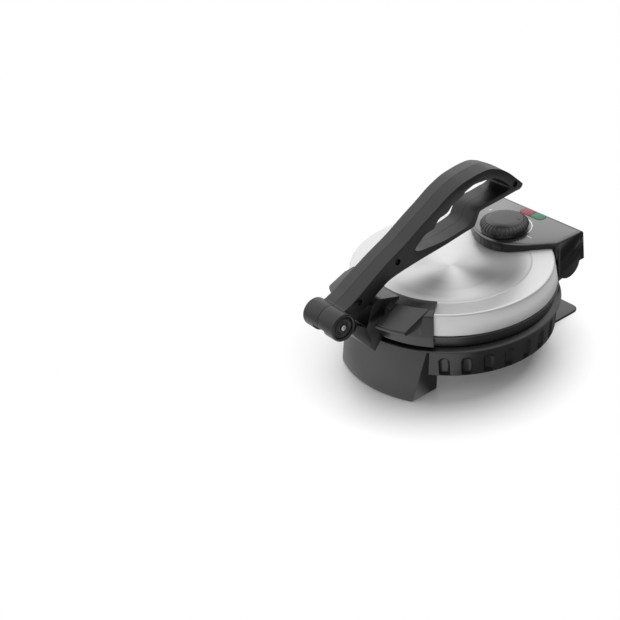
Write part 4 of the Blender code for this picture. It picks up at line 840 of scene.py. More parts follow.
def groove_tree():
    """Sink round-ended grooves into a turned wall, at an even pitch round its axis."""
    known = bpy.data.node_groups.get("grooves_round_an_axis")
    if known:
        return known
    tree, given = open_tree("grooves_round_an_axis", [
        "Pitch", "First", "Last", "Width", "Depth", "Low", "High", "Wall", "Foot", "Axis"])
    place = add(tree, SPLIT_XYZ, {"Vector": add(tree, "GeometryNodeInputPosition")})
    x, height = place["X"], place["Z"]
    forward = given["Axis"] - place["Y"]
    radius = add(tree, VECTOR_MATH, {0: add(tree, JOIN_XYZ, {"X": x, "Y": forward})},
                 operation="LENGTH")
    # How far a point lies from the middle line of its groove, along the wall and upwards.
    turn = add(tree, MATH, {0: x, 1: forward}, operation="ARCTAN2")
    past_first = add(tree, MATH, {0: turn}, operation="ABSOLUTE") - given["First"]
    number = add(tree, MATH, {0: past_first / given["Pitch"]}, operation="ROUND")
    last = add(tree, MATH, {0: (given["Last"] - given["First"]) / given["Pitch"]},
               operation="ROUND")
    number = add(tree, MATH, {0: number, 1: 0.0}, operation="MAXIMUM")
    number = add(tree, MATH, {0: number, 1: last}, operation="MINIMUM")
    sideways = (past_first - number * given["Pitch"]) * radius
    half = given["Width"] * 0.5
    level = add(tree, MATH, {0: height, 1: given["Low"] + half}, operation="MAXIMUM")
    level = add(tree, MATH, {0: level, 1: given["High"] - half}, operation="MINIMUM")
    upward = height - level
    reach = add(tree, MATH, {0: sideways * sideways + upward * upward}, operation="SQRT") / half
    # The groove's round section, with steeper edges than a half circle.
    inside = add(tree, MATH, {0: 1.0 - reach * reach, 1: 0.0}, operation="MAXIMUM")
    steeper = add(tree, MATH, {0: inside * 1.2, 1: 1.0}, operation="MINIMUM")
    sink = add(tree, MATH, {0: steeper}, operation="SQRT") * given["Depth"]
    outside = add(tree, MATH, {0: radius, 1: given["Wall"]}, operation="GREATER_THAN")
    raised = add(tree, MATH, {0: height, 1: given["Foot"]}, operation="GREATER_THAN")
    share = sink * (outside * raised) / radius
    inward = add(tree, JOIN_XYZ, {"X": x * (share * -1.0), "Y": forward * share})
    moved = add(tree, "GeometryNodeSetPosition", {"Geometry": given, "Offset": inward})
    return close_tree(tree, moved, given["Material"])


def vent_tree():
    """Cut two rows of parallel slots through a plate."""
    tree, given = open_tree("vents_in_a_plate", ["Pitch", "Width", "Length", "Row"],
                            Count="Int", Middle="Vector")
    first = given["Pitch"] * (given["Count"] - 1.0) * -0.5
    slot = add(tree, JOIN_XYZ, {"X": given["Width"], "Y": given["Length"], "Z": SLOT_DEPTH})
    cutter = add(tree, "GeometryNodeMeshCube", {"Size": slot})
    step = add(tree, JOIN_XYZ, {"X": given["Pitch"]})
    rows = []
    for side in (-1, 1):
        start = add(tree, JOIN_XYZ, {"X": first, "Y": given["Row"] * side})
        placed = add(tree, VECTOR_MATH, {0: start, 1: given["Middle"]}, operation="ADD")
        rows.append(add(tree, "GeometryNodeMeshLine", {
            "Count": given["Count"], "Start Location": placed, "Offset": step}))
    points = add(tree, "GeometryNodeJoinGeometry", {"Geometry": rows})
    slots = add(tree, "GeometryNodeInstanceOnPoints", {"Points": points, "Instance": cutter})
    solid = add(tree, "GeometryNodeRealizeInstances", {"Geometry": slots})
    opened = add(tree, "GeometryNodeMeshBoolean", {"Mesh 1": given, "Mesh 2": solid},
                 operation="DIFFERENCE", solver="EXACT")
    return close_tree(tree, opened, given["Material"])


def screw_tree():
    """Pan-head screws with a cross recess, one on each point, turned as the point says."""
    known = bpy.data.node_groups.get("cross_recess_screws")
    if known:
        return known
    tree, given = open_tree("cross_recess_screws", [
        "Head Radius", "Head Height", "Shank Radius"])
    radius, height = given["Head Radius"], given["Head Height"]
    disc = add(tree, "GeometryNodeMeshCylinder", {
        "Vertices": 24, "Side Segments": 1, "Fill Segments": 4, "Radius": radius,
        "Depth": height})
    # The head droops towards its rim, and is let down onto its seat.
    place = add(tree, SPLIT_XYZ, {"Vector": add(tree, "GeometryNodeInputPosition")})
    flat = add(tree, JOIN_XYZ, {"X": place["X"], "Y": place["Y"]})
    share = add(tree, VECTOR_MATH, {0: flat}, operation="LENGTH") / radius
    droop = share * share * (height * HEAD_DROOP_SHARE)
    on_top = add(tree, MATH, {0: place["Z"], 1: 0.0}, operation="GREATER_THAN")
    fall = add(tree, JOIN_XYZ, {"Z": droop * on_top + height * -0.5})
    domed = add(tree, "GeometryNodeSetPosition", {"Geometry": disc, "Offset": fall})
    long_side, thin_side = radius * RECESS_LENGTH_SHARE, radius * RECESS_WIDTH_SHARE
    bars = []
    for wide, deep in ((long_side, thin_side), (thin_side, long_side)):
        size = add(tree, JOIN_XYZ, {"X": wide, "Y": deep, "Z": height})
        bars.append(add(tree, "GeometryNodeMeshCube", {"Size": size}))
    head = add(tree, "GeometryNodeMeshBoolean", {"Mesh 1": domed, "Mesh 2": bars},
               operation="DIFFERENCE", solver="EXACT")
    shank = add(tree, "GeometryNodeMeshCylinder", {
        "Vertices": 16, "Radius": given["Shank Radius"], "Depth": 1.0})
    lowered = add(tree, "GeometryNodeTransform", {
        "Geometry": shank, "Translation": (0, 0, -0.5)})
    turned = add(tree, "GeometryNodeInputNamedAttribute", {"Name": "turned"},
                 data_type="FLOAT_VECTOR")
    reach = add(tree, "GeometryNodeInputNamedAttribute", {"Name": "reach"}, data_type="FLOAT")
    stretch = add(tree, JOIN_XYZ, {"X": 1.0, "Y": 1.0, "Z": reach})
    shanks = add(tree, "GeometryNodeInstanceOnPoints", {
        "Points": given, "Instance": lowered, "Rotation": turned, "Scale": stretch})
    heads = add(tree, "GeometryNodeInstanceOnPoints", {
        "Points": given, "Instance": head, "Rotation": turned})
    both = add(tree, "GeometryNodeJoinGeometry", {"Geometry": [shanks, heads]})
    return close_tree(tree, both, given["Material"])


# Base.
def skirt_line(sizes):
    """The fluted wall with its rim and ledge, as a closed line of (radius, height)."""
    inner = sizes.foot_radius - sizes.wall_thickness
    wall_top = sizes.ledge_radius - GAP * 2
    slab = sizes.ledge_height - 0.0025
    rim = rounded([
        (sizes.ledge_radius + 0.0006, sizes.rim_top - GAP),
        (sizes.ledge_radius + 0.0014, sizes.rim_top),
        (sizes.rim_radius - 0.0009, sizes.rim_top - 0.0026),
        (sizes.rim_radius, sizes.rim_top - 0.0034),
        (sizes.rim_radius, sizes.rim_bottom + LAP),
        (sizes.wall_radius + 0.0008, sizes.rim_bottom)], 0.0012, closed=False)
    top = (sizes.wall_radius, sizes.rim_bottom - 0.0006)
    foot = (sizes.foot_radius, sizes.wall_bottom + 0.0009)
    wall = [top] + divided(top, foot, 44)
    edge = rounded([foot, (sizes.foot_radius, sizes.wall_bottom), (inner, sizes.wall_bottom),
                    (wall_top, slab)], [0, 0.0009, 0.0006, 0], closed=False)
    ledge = [(sizes.opening_radius, slab), (sizes.opening_radius, sizes.ledge_height),
             (sizes.ledge_radius, sizes.ledge_height)]
    return rim + wall + edge + ledge


def apron_section(sizes, height, inset):
    """The front foot cut level at a height: a bowed wall with two returns, open behind."""
    top, steps, corner = sizes.rim_bottom + LAP, 20, 0.0026
    flare = sizes.apron_flare / (top - FLOOR_GAP)
    lean = (sizes.apron_top_width - sizes.apron_foot_width) / (top - FLOOR_GAP)
    outer = sizes.rim_radius + flare * (top - height) - LAP - inset
    half = sizes.apron_foot_width + lean * (height - FLOOR_GAP) - inset
    wall = sizes.apron_wall - inset * 2
    inside = sizes.foot_radius - sizes.wall_thickness / 2
    turn = math.asin(half / outer)
    inner_turn = math.asin((half - wall) / (outer - wall))
    front = [(outer * math.sin(turn * step / steps), -outer * math.cos(turn * step / steps))
             for step in range(-steps, steps + 1)]
    rear = [((outer - wall) * math.sin(inner_turn * step / steps),
             (wall - outer) * math.cos(inner_turn * step / steps))
            for step in range(steps, -steps - 1, -1)]
    outer_back = inner_back = -sizes.apron_back - inset
    if height > sizes.wall_bottom - GAP:
        outer_back = -math.sqrt(inside ** 2 - half ** 2)
        inner_back = -math.sqrt(inside ** 2 - (half - wall) ** 2)
    line = [(-half, outer_back)] + front + [(half, outer_back), (half - wall, inner_back)]
    line += rear + [(wall - half, inner_back)]
    radii = [0.0] * len(line)
    radii[1] = radii[len(front)] = corner
    return [(x, AXIS_Y + y, height) for x, y in rounded(line, radii, steps=4)]


def front_apron(sizes):
    edge, post_radius, post_top = 0.0009, 0.0070, 0.0158
    levels = [(height, 0) for height in (
        sizes.rim_bottom + LAP, 0.0450, 0.0340, sizes.wall_bottom - GAP / 2,
        sizes.wall_bottom - GAP * 2, 0.0150, 0.0060)]
    for step in range(6):
        turn = math.pi / 2 * step / 5
        levels.append((FLOOR_GAP + edge * (1 - math.sin(turn)), edge * (1 - math.cos(turn))))
    apron = loft("front_apron", [apron_section(sizes, height, inset)
                                 for height, inset in levels])
    for foot in ("rubber_foot_front_left", "rubber_foot_front_right"):
        join(apron, lathe("post", rod(post_radius, FLOOR_GAP + GAP, post_top, 0.0006, 0.0006),
                          SMALL_STEPS, centre=under(foot)))
        cut(apron, pad_recess(foot))
    return apron


def pad_recess(foot):
    """The round recess that a rubber foot sits in."""
    return lathe("recess", rod(PAD_RECESS, -0.002, 0.0026), SMALL_STEPS, centre=under(foot))


def hinge_lugs():
    """The two eyes behind the skirt that hold the lid's pins."""
    behind, root = HINGE.y - AXIS_Y, 0.0968
    eye_radius, near_side, far_side = 0.0080, 0.0460, 0.0540
    eye = arc((behind, HINGE.z), eye_radius, math.radians(-40), math.radians(215), 40)
    outline = [(root, 0.0460), (behind + 0.0030, 0.0500)] + eye
    outline += [(behind - 0.0070, 0.0624), (root, 0.0552)]
    hole = list(reversed(arc((behind, HINGE.z), PIN_BORE, 0, 2 * math.pi, 32)))[:-1]
    lugs = [round_edges(prism("hinge_lugs", [outline, hole], *sorted(
        (side * near_side, side * far_side)), upright=False), 0.0006, 2) for side in (-1, 1)]
    return join(*lugs)


class ROTI_OT_fluted_base(bpy.types.Operator):
    """Make the base: its fluted wall with the rim, the front foot and the hinge eyes"""

    bl_idname = "roti.fluted_base"
    bl_label = "Fluted base"

    def execute(self, context):
        sizes = context.scene.roti_base
        skirt = lathe("fluted_skirt", skirt_line(sizes), FLUTED_STEPS)
        run_tree(skirt, groove_tree(), {
            "Pitch": sizes.flute_pitch, "First": sizes.flute_first, "Last": sizes.flute_last,
            "Width": sizes.flute_width, "Depth": sizes.flute_depth, "Low": -1.0,
            "High": sizes.flute_top, "Wall": sizes.ledge_radius - 0.0004,
            "Foot": sizes.wall_bottom + 0.0012, "Axis": AXIS_Y,
            "Material": finish("housing")})
        cord_bore, cord_height = 0.0065, 0.0410
        bore = lathe_along_x("bore", rod(cord_bore, -2 * PAST, 2 * PAST), (0, 0, 0))
        bore.data.transform(Matrix.Translation((0, AXIS_Y + sizes.foot_radius, cord_height))
                            @ Matrix.Rotation(math.pi / 2, 4, "Z"))
        cut(skirt, bore)
        dress(skirt, "base", "housing", ["base_housing"], 32)
        dress(even_normals(front_apron(sizes)), "base", "housing", ["base_housing"])
        dress(hinge_lugs(), "base", "housing", ["base_housing"])
        return {"FINISHED"}


class ROTI_OT_underside(bpy.types.Operator):
    """Make what is under the base: the vented cover, the rear foot, pads and cord bush"""

    bl_idname = "roti.underside"
    bl_label = "Underside"

    def execute(self, context):
        low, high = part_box("bottom_cover")
        cover = lathe("vented_cover", rod((high[0] - low[0]) / 2, low[2], high[2],
                                          0.0006, 0.0006), TURN_STEPS)
        run_tree(cover, vent_tree(), {
            "Count": 7, "Pitch": 0.0085, "Width": 0.0030, "Length": 0.0300, "Row": 0.0420,
            "Middle": (0, AXIS_Y - 0.0140, low[2]), "Material": finish("sheet")})
        dress(cover, "base", "sheet", ["bottom_cover"])
        self.rear_foot()
        for end in ("front_left", "front_right", "rear_left", "rear_right"):
            self.pad("rubber_foot_" + end)
        self.cord_bush()
        return {"FINISHED"}

    def rear_foot(self):
        low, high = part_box("rear_foot")
        half, front, back = high[0], low[1] - AXIS_Y, high[1] - AXIS_Y
        web_at, web_half, web_foot, web_top = 0.0420, 0.0015, FLOOR_GAP + 0.001, high[2]
        corners = [(-half, front), (half, front), (half, back), (-half, back)]
        plate = prism("rear_foot_plate", [rounded(corners, [0.002, 0.002, 0.010, 0.010],
                                                  steps=8)], FLOOR_GAP, FLOOR_GAP + 0.0032)
        round_edges(plate, 0.0008, 3)
        for side in (-1, 1):
            web = box("web", (side * web_at - web_half, 0.0635, web_foot),
                      (side * web_at + web_half, 0.0985, web_top))
            post = lathe("post", rod(POST, web_foot, web_top), 24,
                         centre=(side * web_at, AXIS_Y + 0.0810, 0))
            join(plate, web, post)
        join(plate, box("cross_web", (-web_at - web_half, 0.0970, web_foot),
                        (web_at + web_half, 0.1000, web_top)))
        for foot in ("rubber_foot_rear_left", "rubber_foot_rear_right"):
            cut(plate, pad_recess(foot))
        dress(plate, "base", "housing", ["rear_foot"])

    def pad(self, node):
        low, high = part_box(node)
        radius = (high[0] - low[0]) / 2
        line = rounded([(0, high[2]), (radius, high[2]), (radius, 0.0), (radius * 0.62, 0.0),
                        (radius * 0.58, 0.0005), (radius * 0.34, 0.0005), (radius * 0.3, 0.0),
                        (0, 0.0)], [0, 0.0003, 0.0006, 0.0002, 0.0002, 0.0002, 0.0002, 0])
        pad = lathe(node + "_pad", line, SMALL_STEPS, centre=under(node))
        dress(pad, "base", "rubber", [node])

    def cord_bush(self):
        low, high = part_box("cord_gland")
        line = rounded([(0.0062, low[1]), (0.0062, high[1] - 0.0018),
                        (0.0085, high[1] - 0.0018), (0.0085, high[1]), (0.0036, high[1]),
                        (0.0036, low[1])], [0, 0, 0.0004, 0.0010, 0.0008, 0])
        bush = lathe("cord_bush", line, SMALL_STEPS, centre=(0, 0, 0))
        turn = Matrix.Rotation(-math.pi / 2, 4, "X")
        bush.data.transform(Matrix.Translation((0, 0, (low[2] + high[2]) / 2)) @ turn)
        dress(bush, "base", "rubber", ["cord_gland"])


# Hotplates and what is held inside. These solids stay as they are and get a finish.
INNER_PARTS = {
    "sheet": ("lower_reflector", "upper_reflector"),
    "tube": ("lower_element", "upper_element"),
    "ceramic": ("terminal_block", "thermal_fuse", "thermostat_body"),
    "nylon": ("hinge_bush_left", "hinge_bush_right"),
    "bright": ("hinge_pin_left", "hinge_pin_right", "thermostat_shaft"),
    "lamp": ("lamp_red", "lamp_green"),
}


class ROTI_OT_hotplates(bpy.types.Operator):
    """Make both cooking plates and give the inner parts their finishes"""

    bl_idname = "roti.hotplates"
    bl_label = "Hotplates and inner parts"

    def execute(self, context):
        self.plate("lower_hotplate", "base", True)
        self.plate("upper_hotplate", "lid", False)
        for finish_name, nodes in INNER_PARTS.items():
            for node in nodes:
                paint(node, finish_name)
        return {"FINISHED"}

    def plate(self, node, body, face_up):
        """A cast plate. Its face has a turned edge, and its back carries the studs."""
        low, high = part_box(node)
        radius = (high[0] - low[0]) / 2
        face, far, away = (high[2], low[2], -1) if face_up else (low[2], high[2], 1)
        chamfer, thickness, stud_circle = 0.0015, 0.0060, 0.0840
        back = face + away * thickness
        line = rounded([(0, face), (radius - chamfer, face), (radius, face + away * chamfer),
                        (radius, back - away * chamfer), (radius - chamfer, back), (0, back)],
                       [0, 0.0018, 0.0006, 0.0008, 0.0012, 0])
        plate = lathe(node + "_coated", line, TURN_STEPS)
        ends = sorted((far, back - away * chamfer))
        for number in range(3):
            turn = 2 * math.pi * number / 3
            spot = (stud_circle * math.sin(turn), AXIS_Y - stud_circle * math.cos(turn), 0)
            join(plate, lathe("stud", rod(POST, *ends), 24, centre=spot))
        dress(plate, body, "plate", [node])


# Lid.
def shell_line(sizes, outset):
    """The lid's line from its middle to its lower edge, moved outwards by this much."""
    top = sizes.top + outset
    rim = sizes.foot_radius - sizes.wall_taper + outset
    crease = rim - outset - sizes.band
    dish = top - sizes.band_drop - sizes.dish_drop
    line = [(0, dish), (sizes.dish_radius * 0.5, dish)]
    for step in range(17):
        share = step / 16
        lift = share * share * (3 - 2 * share)
        line.append((sizes.dish_radius + (crease - 0.0012 - sizes.dish_radius) * share,
                     dish + (sizes.dish_drop - 0.0003) * (0.35 * share + 0.65 * lift)))
    line += rounded([line[-1], (crease, top - sizes.band_drop + 0.0001), (rim, top),
                     (sizes.foot_radius + outset, sizes.bottom)],
                    [0, 0.0016, sizes.edge * 1.4, 0], closed=False, steps=8)[1:]
    return line


class ROTI_OT_lid_shell(bpy.types.Operator):
    """Make the spun steel lid with its dish, band and rolled lower edge"""

    bl_idname = "roti.lid_shell"
    bl_label = "Steel lid"

    def execute(self, context):
        sizes = context.scene.roti_lid
        outer = shell_line(sizes, 0)
        inner = shell_line(sizes, -sizes.sheet)
        hem = arc((sizes.foot_radius - sizes.sheet / 2, sizes.bottom + 0.0004),
                  sizes.sheet / 2, 0, -math.pi, 6)
        shell = lathe("steel_lid", outer[:-1] + hem + inner[-2::-1], 256)
        dress(shell, "lid", "stainless", ["lid_shell"], 50)
        return {"FINISHED"}


class ROTI_OT_lid_ring(bpy.types.Operator):
    """Make the black ring under the steel lid"""

    bl_idname = "roti.lid_ring"
    bl_label = "Lid ring"

    def execute(self, context):
        sizes = context.scene.roti_lid
        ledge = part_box("upper_hotplate")[0][2] + 0.0054
        low = sizes.ring_radius - sizes.ring_taper
        opening, room, collar = 0.1042, 0.1106, sizes.ring_top + 0.0039
        line = rounded([
            (0.1130, collar), (0.1133, sizes.ring_top),
            (sizes.ring_radius, sizes.ring_top), (sizes.ring_radius, sizes.ring_top - 0.0012),
            (low, sizes.ring_bottom + 0.0008), (low - 0.0008, sizes.ring_bottom),
            (opening, sizes.ring_bottom), (opening, ledge), (room, ledge), (room, collar)],
            [0.0006, 0.0002, 0.0008, 0.0008, 0.0008, 0.0006, 0.0005, 0.0004, 0.0004, 0.0005])
        dress(lathe("lid_ring_moulding", line, TURN_STEPS), "lid", "housing", ["lid_ring"])
        return {"FINISHED"}


def lid_room(outset):
    """The space of the lid and its ring, for what has to stay clear of them."""
    sizes = bpy.context.scene.roti_lid
    ring = sizes.ring_radius + outset
    low, shoulder, floor = ring - sizes.ring_taper, sizes.ring_top + outset * 2, 0.0500
    line = shell_line(sizes, outset) + [
        (sizes.foot_radius + outset, shoulder), (ring, shoulder),
        (ring, sizes.ring_top - 0.0014), (low, sizes.ring_bottom), (low, floor), (0, floor)]
    return lathe("lid_room", line, TURN_STEPS)


# Controls.
def housing_outline(sizes, inset, back, half, steps=48):
    """The control housing from above: a round front, then straight flared sides."""
    rest = math.pi / 2 - sizes.arc_half_angle
    sweep = arc((0, sizes.arc_centre), sizes.arc_radius - inset, rest - math.pi, -rest, steps)
    end_x, end_y = sweep[-1]
    corner = end_y + (half - end_x) * math.tan(sizes.arc_half_angle)
    return sweep + [(half, corner), (half, back), (-half, back), (-half, corner)]


class ROTI_OT_control_housing(bpy.types.Operator):
    """Make the control housing with its cheeks, the panel, its print and the rear cover"""

    bl_idname = "roti.control_housing"
    bl_label = "Control housing"

    def execute(self, context):
        sizes = context.scene.roti_control
        self.housing(sizes)
        self.panel(sizes)
        self.marks(sizes)
        self.rear_cover(sizes)
        return {"FINISHED"}

    def housing(self, sizes):
        half, top, low = sizes.half_width, sizes.top, 0.0535
        rear_edge, knuckle_radius, front = 0.0055, 0.0175, 0.045
        wall, rear_wall, roof, corner_radius = 0.0025, 0.0047, 0.0038, 0.0032
        outline = housing_outline(sizes, 0, sizes.rear + PAST, half)
        right = rounded(outline[-5:-2], [0, corner_radius, 0], closed=False, steps=6)[1:]
        left = [(-x, y) for x, y in reversed(right)]
        outline = outline[:-4] + right + left
        housing = prism("control_housing_shell", [outline], low, top)
        round_chosen(housing, 0.0024, 5, upper_edges(top), held_back=False)
        behind, rear_top = HINGE.y - AXIS_Y, sizes.rear - 0.0021
        corner = arc((rear_top - rear_edge, top - rear_edge), rear_edge, math.pi / 2, 0, 10)
        knuckle = arc((behind, HINGE.z), knuckle_radius, math.radians(-9.2), -math.pi, 40)
        over, before_corner = top + 0.004, rear_top - rear_edge * 2
        side = [(front, over), (before_corner, over), (before_corner, top)]
        side += corner + [(sizes.rear, 0.0722)] + knuckle
        side += [(behind - knuckle_radius, sizes.under), (front, sizes.under)]
        keep_common(housing, prism("side_view", [side], -half * 2, half * 2, upright=False))
        inner_x = half - sizes.cheek
        cut(housing, box("between_cheeks", (-inner_x, behind - 0.070, 0.030),
                         (inner_x, sizes.rear + 0.020, sizes.under)))
        room = housing_outline(sizes, wall, sizes.rear - rear_wall, inner_x)
        cut(housing, prism("room", [room], sizes.under - 0.004, top - roof))
        cut(housing, lid_room(GAP))
        flange = prism("foot_flange", [housing_outline(sizes, -0.0018, behind - 0.030,
                                                       half - 0.0010)], 0.0900, 0.1060)
        keep_common(flange, lid_room(GAP + 0.0012))
        cut(flange, lid_room(GAP))
        join(housing, flange)
        recess = housing_outline(sizes, sizes.border - GAP, rear_top - rear_edge + GAP,
                                 half - sizes.border + GAP)
        cut(housing, prism("panel_recess", [recess], top - 0.0019, top + 0.003))
        tidy(housing, flat=True)
        round_chosen(housing, 0.0007, 2, self.cheek_edge)
        dress(even_normals(housing), "lid", "gloss", ["control_housing"], 35)
        housing.data.materials.append(finish("panel"))
        for face in housing.data.polygons:
            if face.normal.z > 0.25 and face.center.z > top - 0.0030:
                face.material_index = 1

    @staticmethod
    def cheek_edge(edge):
        """Which edges of the cheeks and the wall are rounded: the outer ones."""
        middle = (edge.verts[0].co + edge.verts[1].co) / 2
        outside = abs(middle.x) > 0.0655 and edge.calc_length() > 0.0009
        return float(outside and middle.z < 0.1060)

    def panel(self, sizes):
        low = sizes.top - sizes.panel
        outline = housing_outline(sizes, sizes.border, sizes.rear - 0.0076,
                                  sizes.half_width - sizes.border)
        panel = prism("dial_panel", [outline], low, sizes.top)
        round_chosen(panel, 0.00035, 2, upper_edges(sizes.top))
        lens = pill(sizes, GAP, 1) + list(reversed(pill(sizes, GAP, -1)))
        cut(panel, prism("lens_hole", [lens], low - 0.004, sizes.top + 0.004))
        cut(panel, lathe("shaft_hole", rod(0.0036, 0.10, 0.12), SMALL_STEPS,
                         centre=(KNOB.x, KNOB.y, 0)))
        dress(panel, "lid", "panel", ["control_panel"], 35)

    def marks(self, sizes):
        """The printed arc, pointer tick and dash round the knob."""
        low, high = sizes.top - 0.0001, sizes.top + 0.00006
        middle, outside, inside = (-0.0031, 0.0857), 0.0310, 0.0295
        tick = ((0.0300, 0.0866), (0.0380, 0.0856), 0.0012)
        dash = ((-0.0439, 0.1008), (-0.0418, 0.1034), 0.0016)
        first, last = math.radians(11), math.radians(88)
        lines = [arc(middle, outside, first, last, 60) + arc(middle, inside, last, first, 60)]
        for start, end, width in (tick, dash):
            first, last = Vector(start), Vector(end)
            aside = (last - first).orthogonal().normalized() * width / 2
            lines.append([tuple(first - aside), tuple(last - aside), tuple(last + aside),
                          tuple(first + aside)])
        pieces = [prism("dial_marks", [line], low, high) for line in lines]
        join(*pieces)
        dress(pieces[0], "lid", "print")

    def rear_cover(self, sizes):
        low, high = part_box("rear_cover")
        cover = box("rear_cover_plate", (low[0], low[1] - AXIS_Y, low[2]),
                    (high[0], high[1] - AXIS_Y, high[2]))
        cut(cover, lid_room(GAP))
        dress(round_edges(cover, 0.0004, 2), "lid", "housing", ["rear_cover"])


def pill(sizes, outset, side):
    """Half of the lenses' outline, from the middle round its end and back."""
    radius = sizes.lens_width / 2 + outset
    straight = sizes.lens_length / 2 - sizes.lens_width / 2
    bend = arc((straight, sizes.lens_behind), radius, -math.pi / 2, math.pi / 2, 20)
    line = [(0, sizes.lens_behind - radius)] + bend + [(0, sizes.lens_behind + radius)]
    return [(side * x, y) for x, y in line]


class ROTI_OT_lenses(bpy.types.Operator):
    """Make the red and the green indicator lens"""

    bl_idname = "roti.lenses"
    bl_label = "Indicator lenses"

    def execute(self, context):
        sizes = context.scene.roti_control
        for word, side in (("red", -1), ("green", 1)):
            node = "indicator_lens_" + word
            low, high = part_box(node)
            line = [(x + side * 0.00015 if abs(x) < WELD else x, y)
                    for x, y in pill(sizes, 0, side)]
            lens = prism(word + "_lens", [line], low[2], high[2])
            round_chosen(lens, 0.0007, 4, upper_edges(high[2]))
            dress(lens, "lid", word, [node])
        return {"FINISHED"}


# Where the knob's pointer stands, in degrees from the rear.
POINTER_AT = -62


class ROTI_OT_knob(bpy.types.Operator):
    """Make the knob: a grooved grip with a pointer, and the skirt under it"""

    bl_idname = "roti.knob"
    bl_label = "Dial knob"

    def execute(self, context):
        sizes = context.scene.roti_control
        base = sizes.top + GAP
        joint = base + sizes.skirt_height + GAP
        top = base + sizes.knob_height
        slope, belly = (0.0262, top - 0.0045), (sizes.knob_radius, top - 0.0072)
        dome = rounded([(0, top), (0.0185, top - 0.0003), slope, belly,
                        (sizes.knob_radius - 0.0003, joint)],
                       [0, 0.0060, 0.0030, 0.0024, 0], closed=False, steps=10)
        ends = list(zip(dome, dome[1:]))
        edge = [point for start, end in ends for point in divided(start, end, 3)]
        hollow = [(sizes.knob_radius - 0.0008, joint), (PIN_BORE, joint),
                  (PIN_BORE, top - 0.0040), (0, top - 0.0040)]
        line = dome[:1] + edge + dome[-1:] + hollow
        spot = (KNOB.x, KNOB.y, 0)
        grip = lathe("knob_grip", line, FLUTED_STEPS, centre=spot)
        pitch = 2 * math.pi / sizes.grip_grooves
        run_tree(grip, groove_tree(), {
            "Pitch": pitch, "First": pitch / 2, "Last": math.pi - pitch / 2,
            "Width": 0.0032, "Depth": 0.0014, "Low": joint - 0.004, "High": top - 0.0010,
            "Wall": 0.0212, "Axis": KNOB.y, "Material": finish("knob")})
        notch = box("pointer", (-0.0006, 0.0150, top - 0.0010), (0.0006, 0.0225, top + 0.002))
        turn = Matrix.Rotation(math.radians(POINTER_AT), 4, "Z")
        notch.data.transform(Matrix.Translation(spot) @ turn
                             @ Matrix.Translation((0, -AXIS_Y, 0)))
        cut(grip, notch)
        dress(grip, "knob", "knob", ["knob_body"], 40)
        skirt = lathe("knob_skirt_ring", rounded(
            [(PIN_BORE, joint - GAP), (sizes.skirt_radius - 0.0006, joint - GAP),
             (sizes.skirt_radius, base + 0.0008), (sizes.skirt_radius, base),
             (PIN_BORE, base)], [0, 0.0006, 0.0006, 0.0003, 0]), TURN_STEPS, centre=spot)
        dress(skirt, "knob", "gloss", ["knob_skirt"], 40)
        return {"FINISHED"}


# Front bracket. Its arm from the side, as (y, height), and the rounding of those corners.
ARM_SIDE = ((-0.1305, 0.0545), (-0.1565, 0.0855), (-0.1515, 0.0963), (-0.1384, 0.0870),
            (-0.1288, 0.1110), (-0.1180, 0.1135), (-0.0930, 0.1060), (-0.0930, 0.1020),
            (-0.1120, 0.0670), (-0.1189, 0.0657), (-0.1219, 0.0634))
ARM_CORNERS = (0.0015, 0.002, 0.001, 0.002, 0.002, 0.003, 0.001, 0, 0, 0, 0.001)


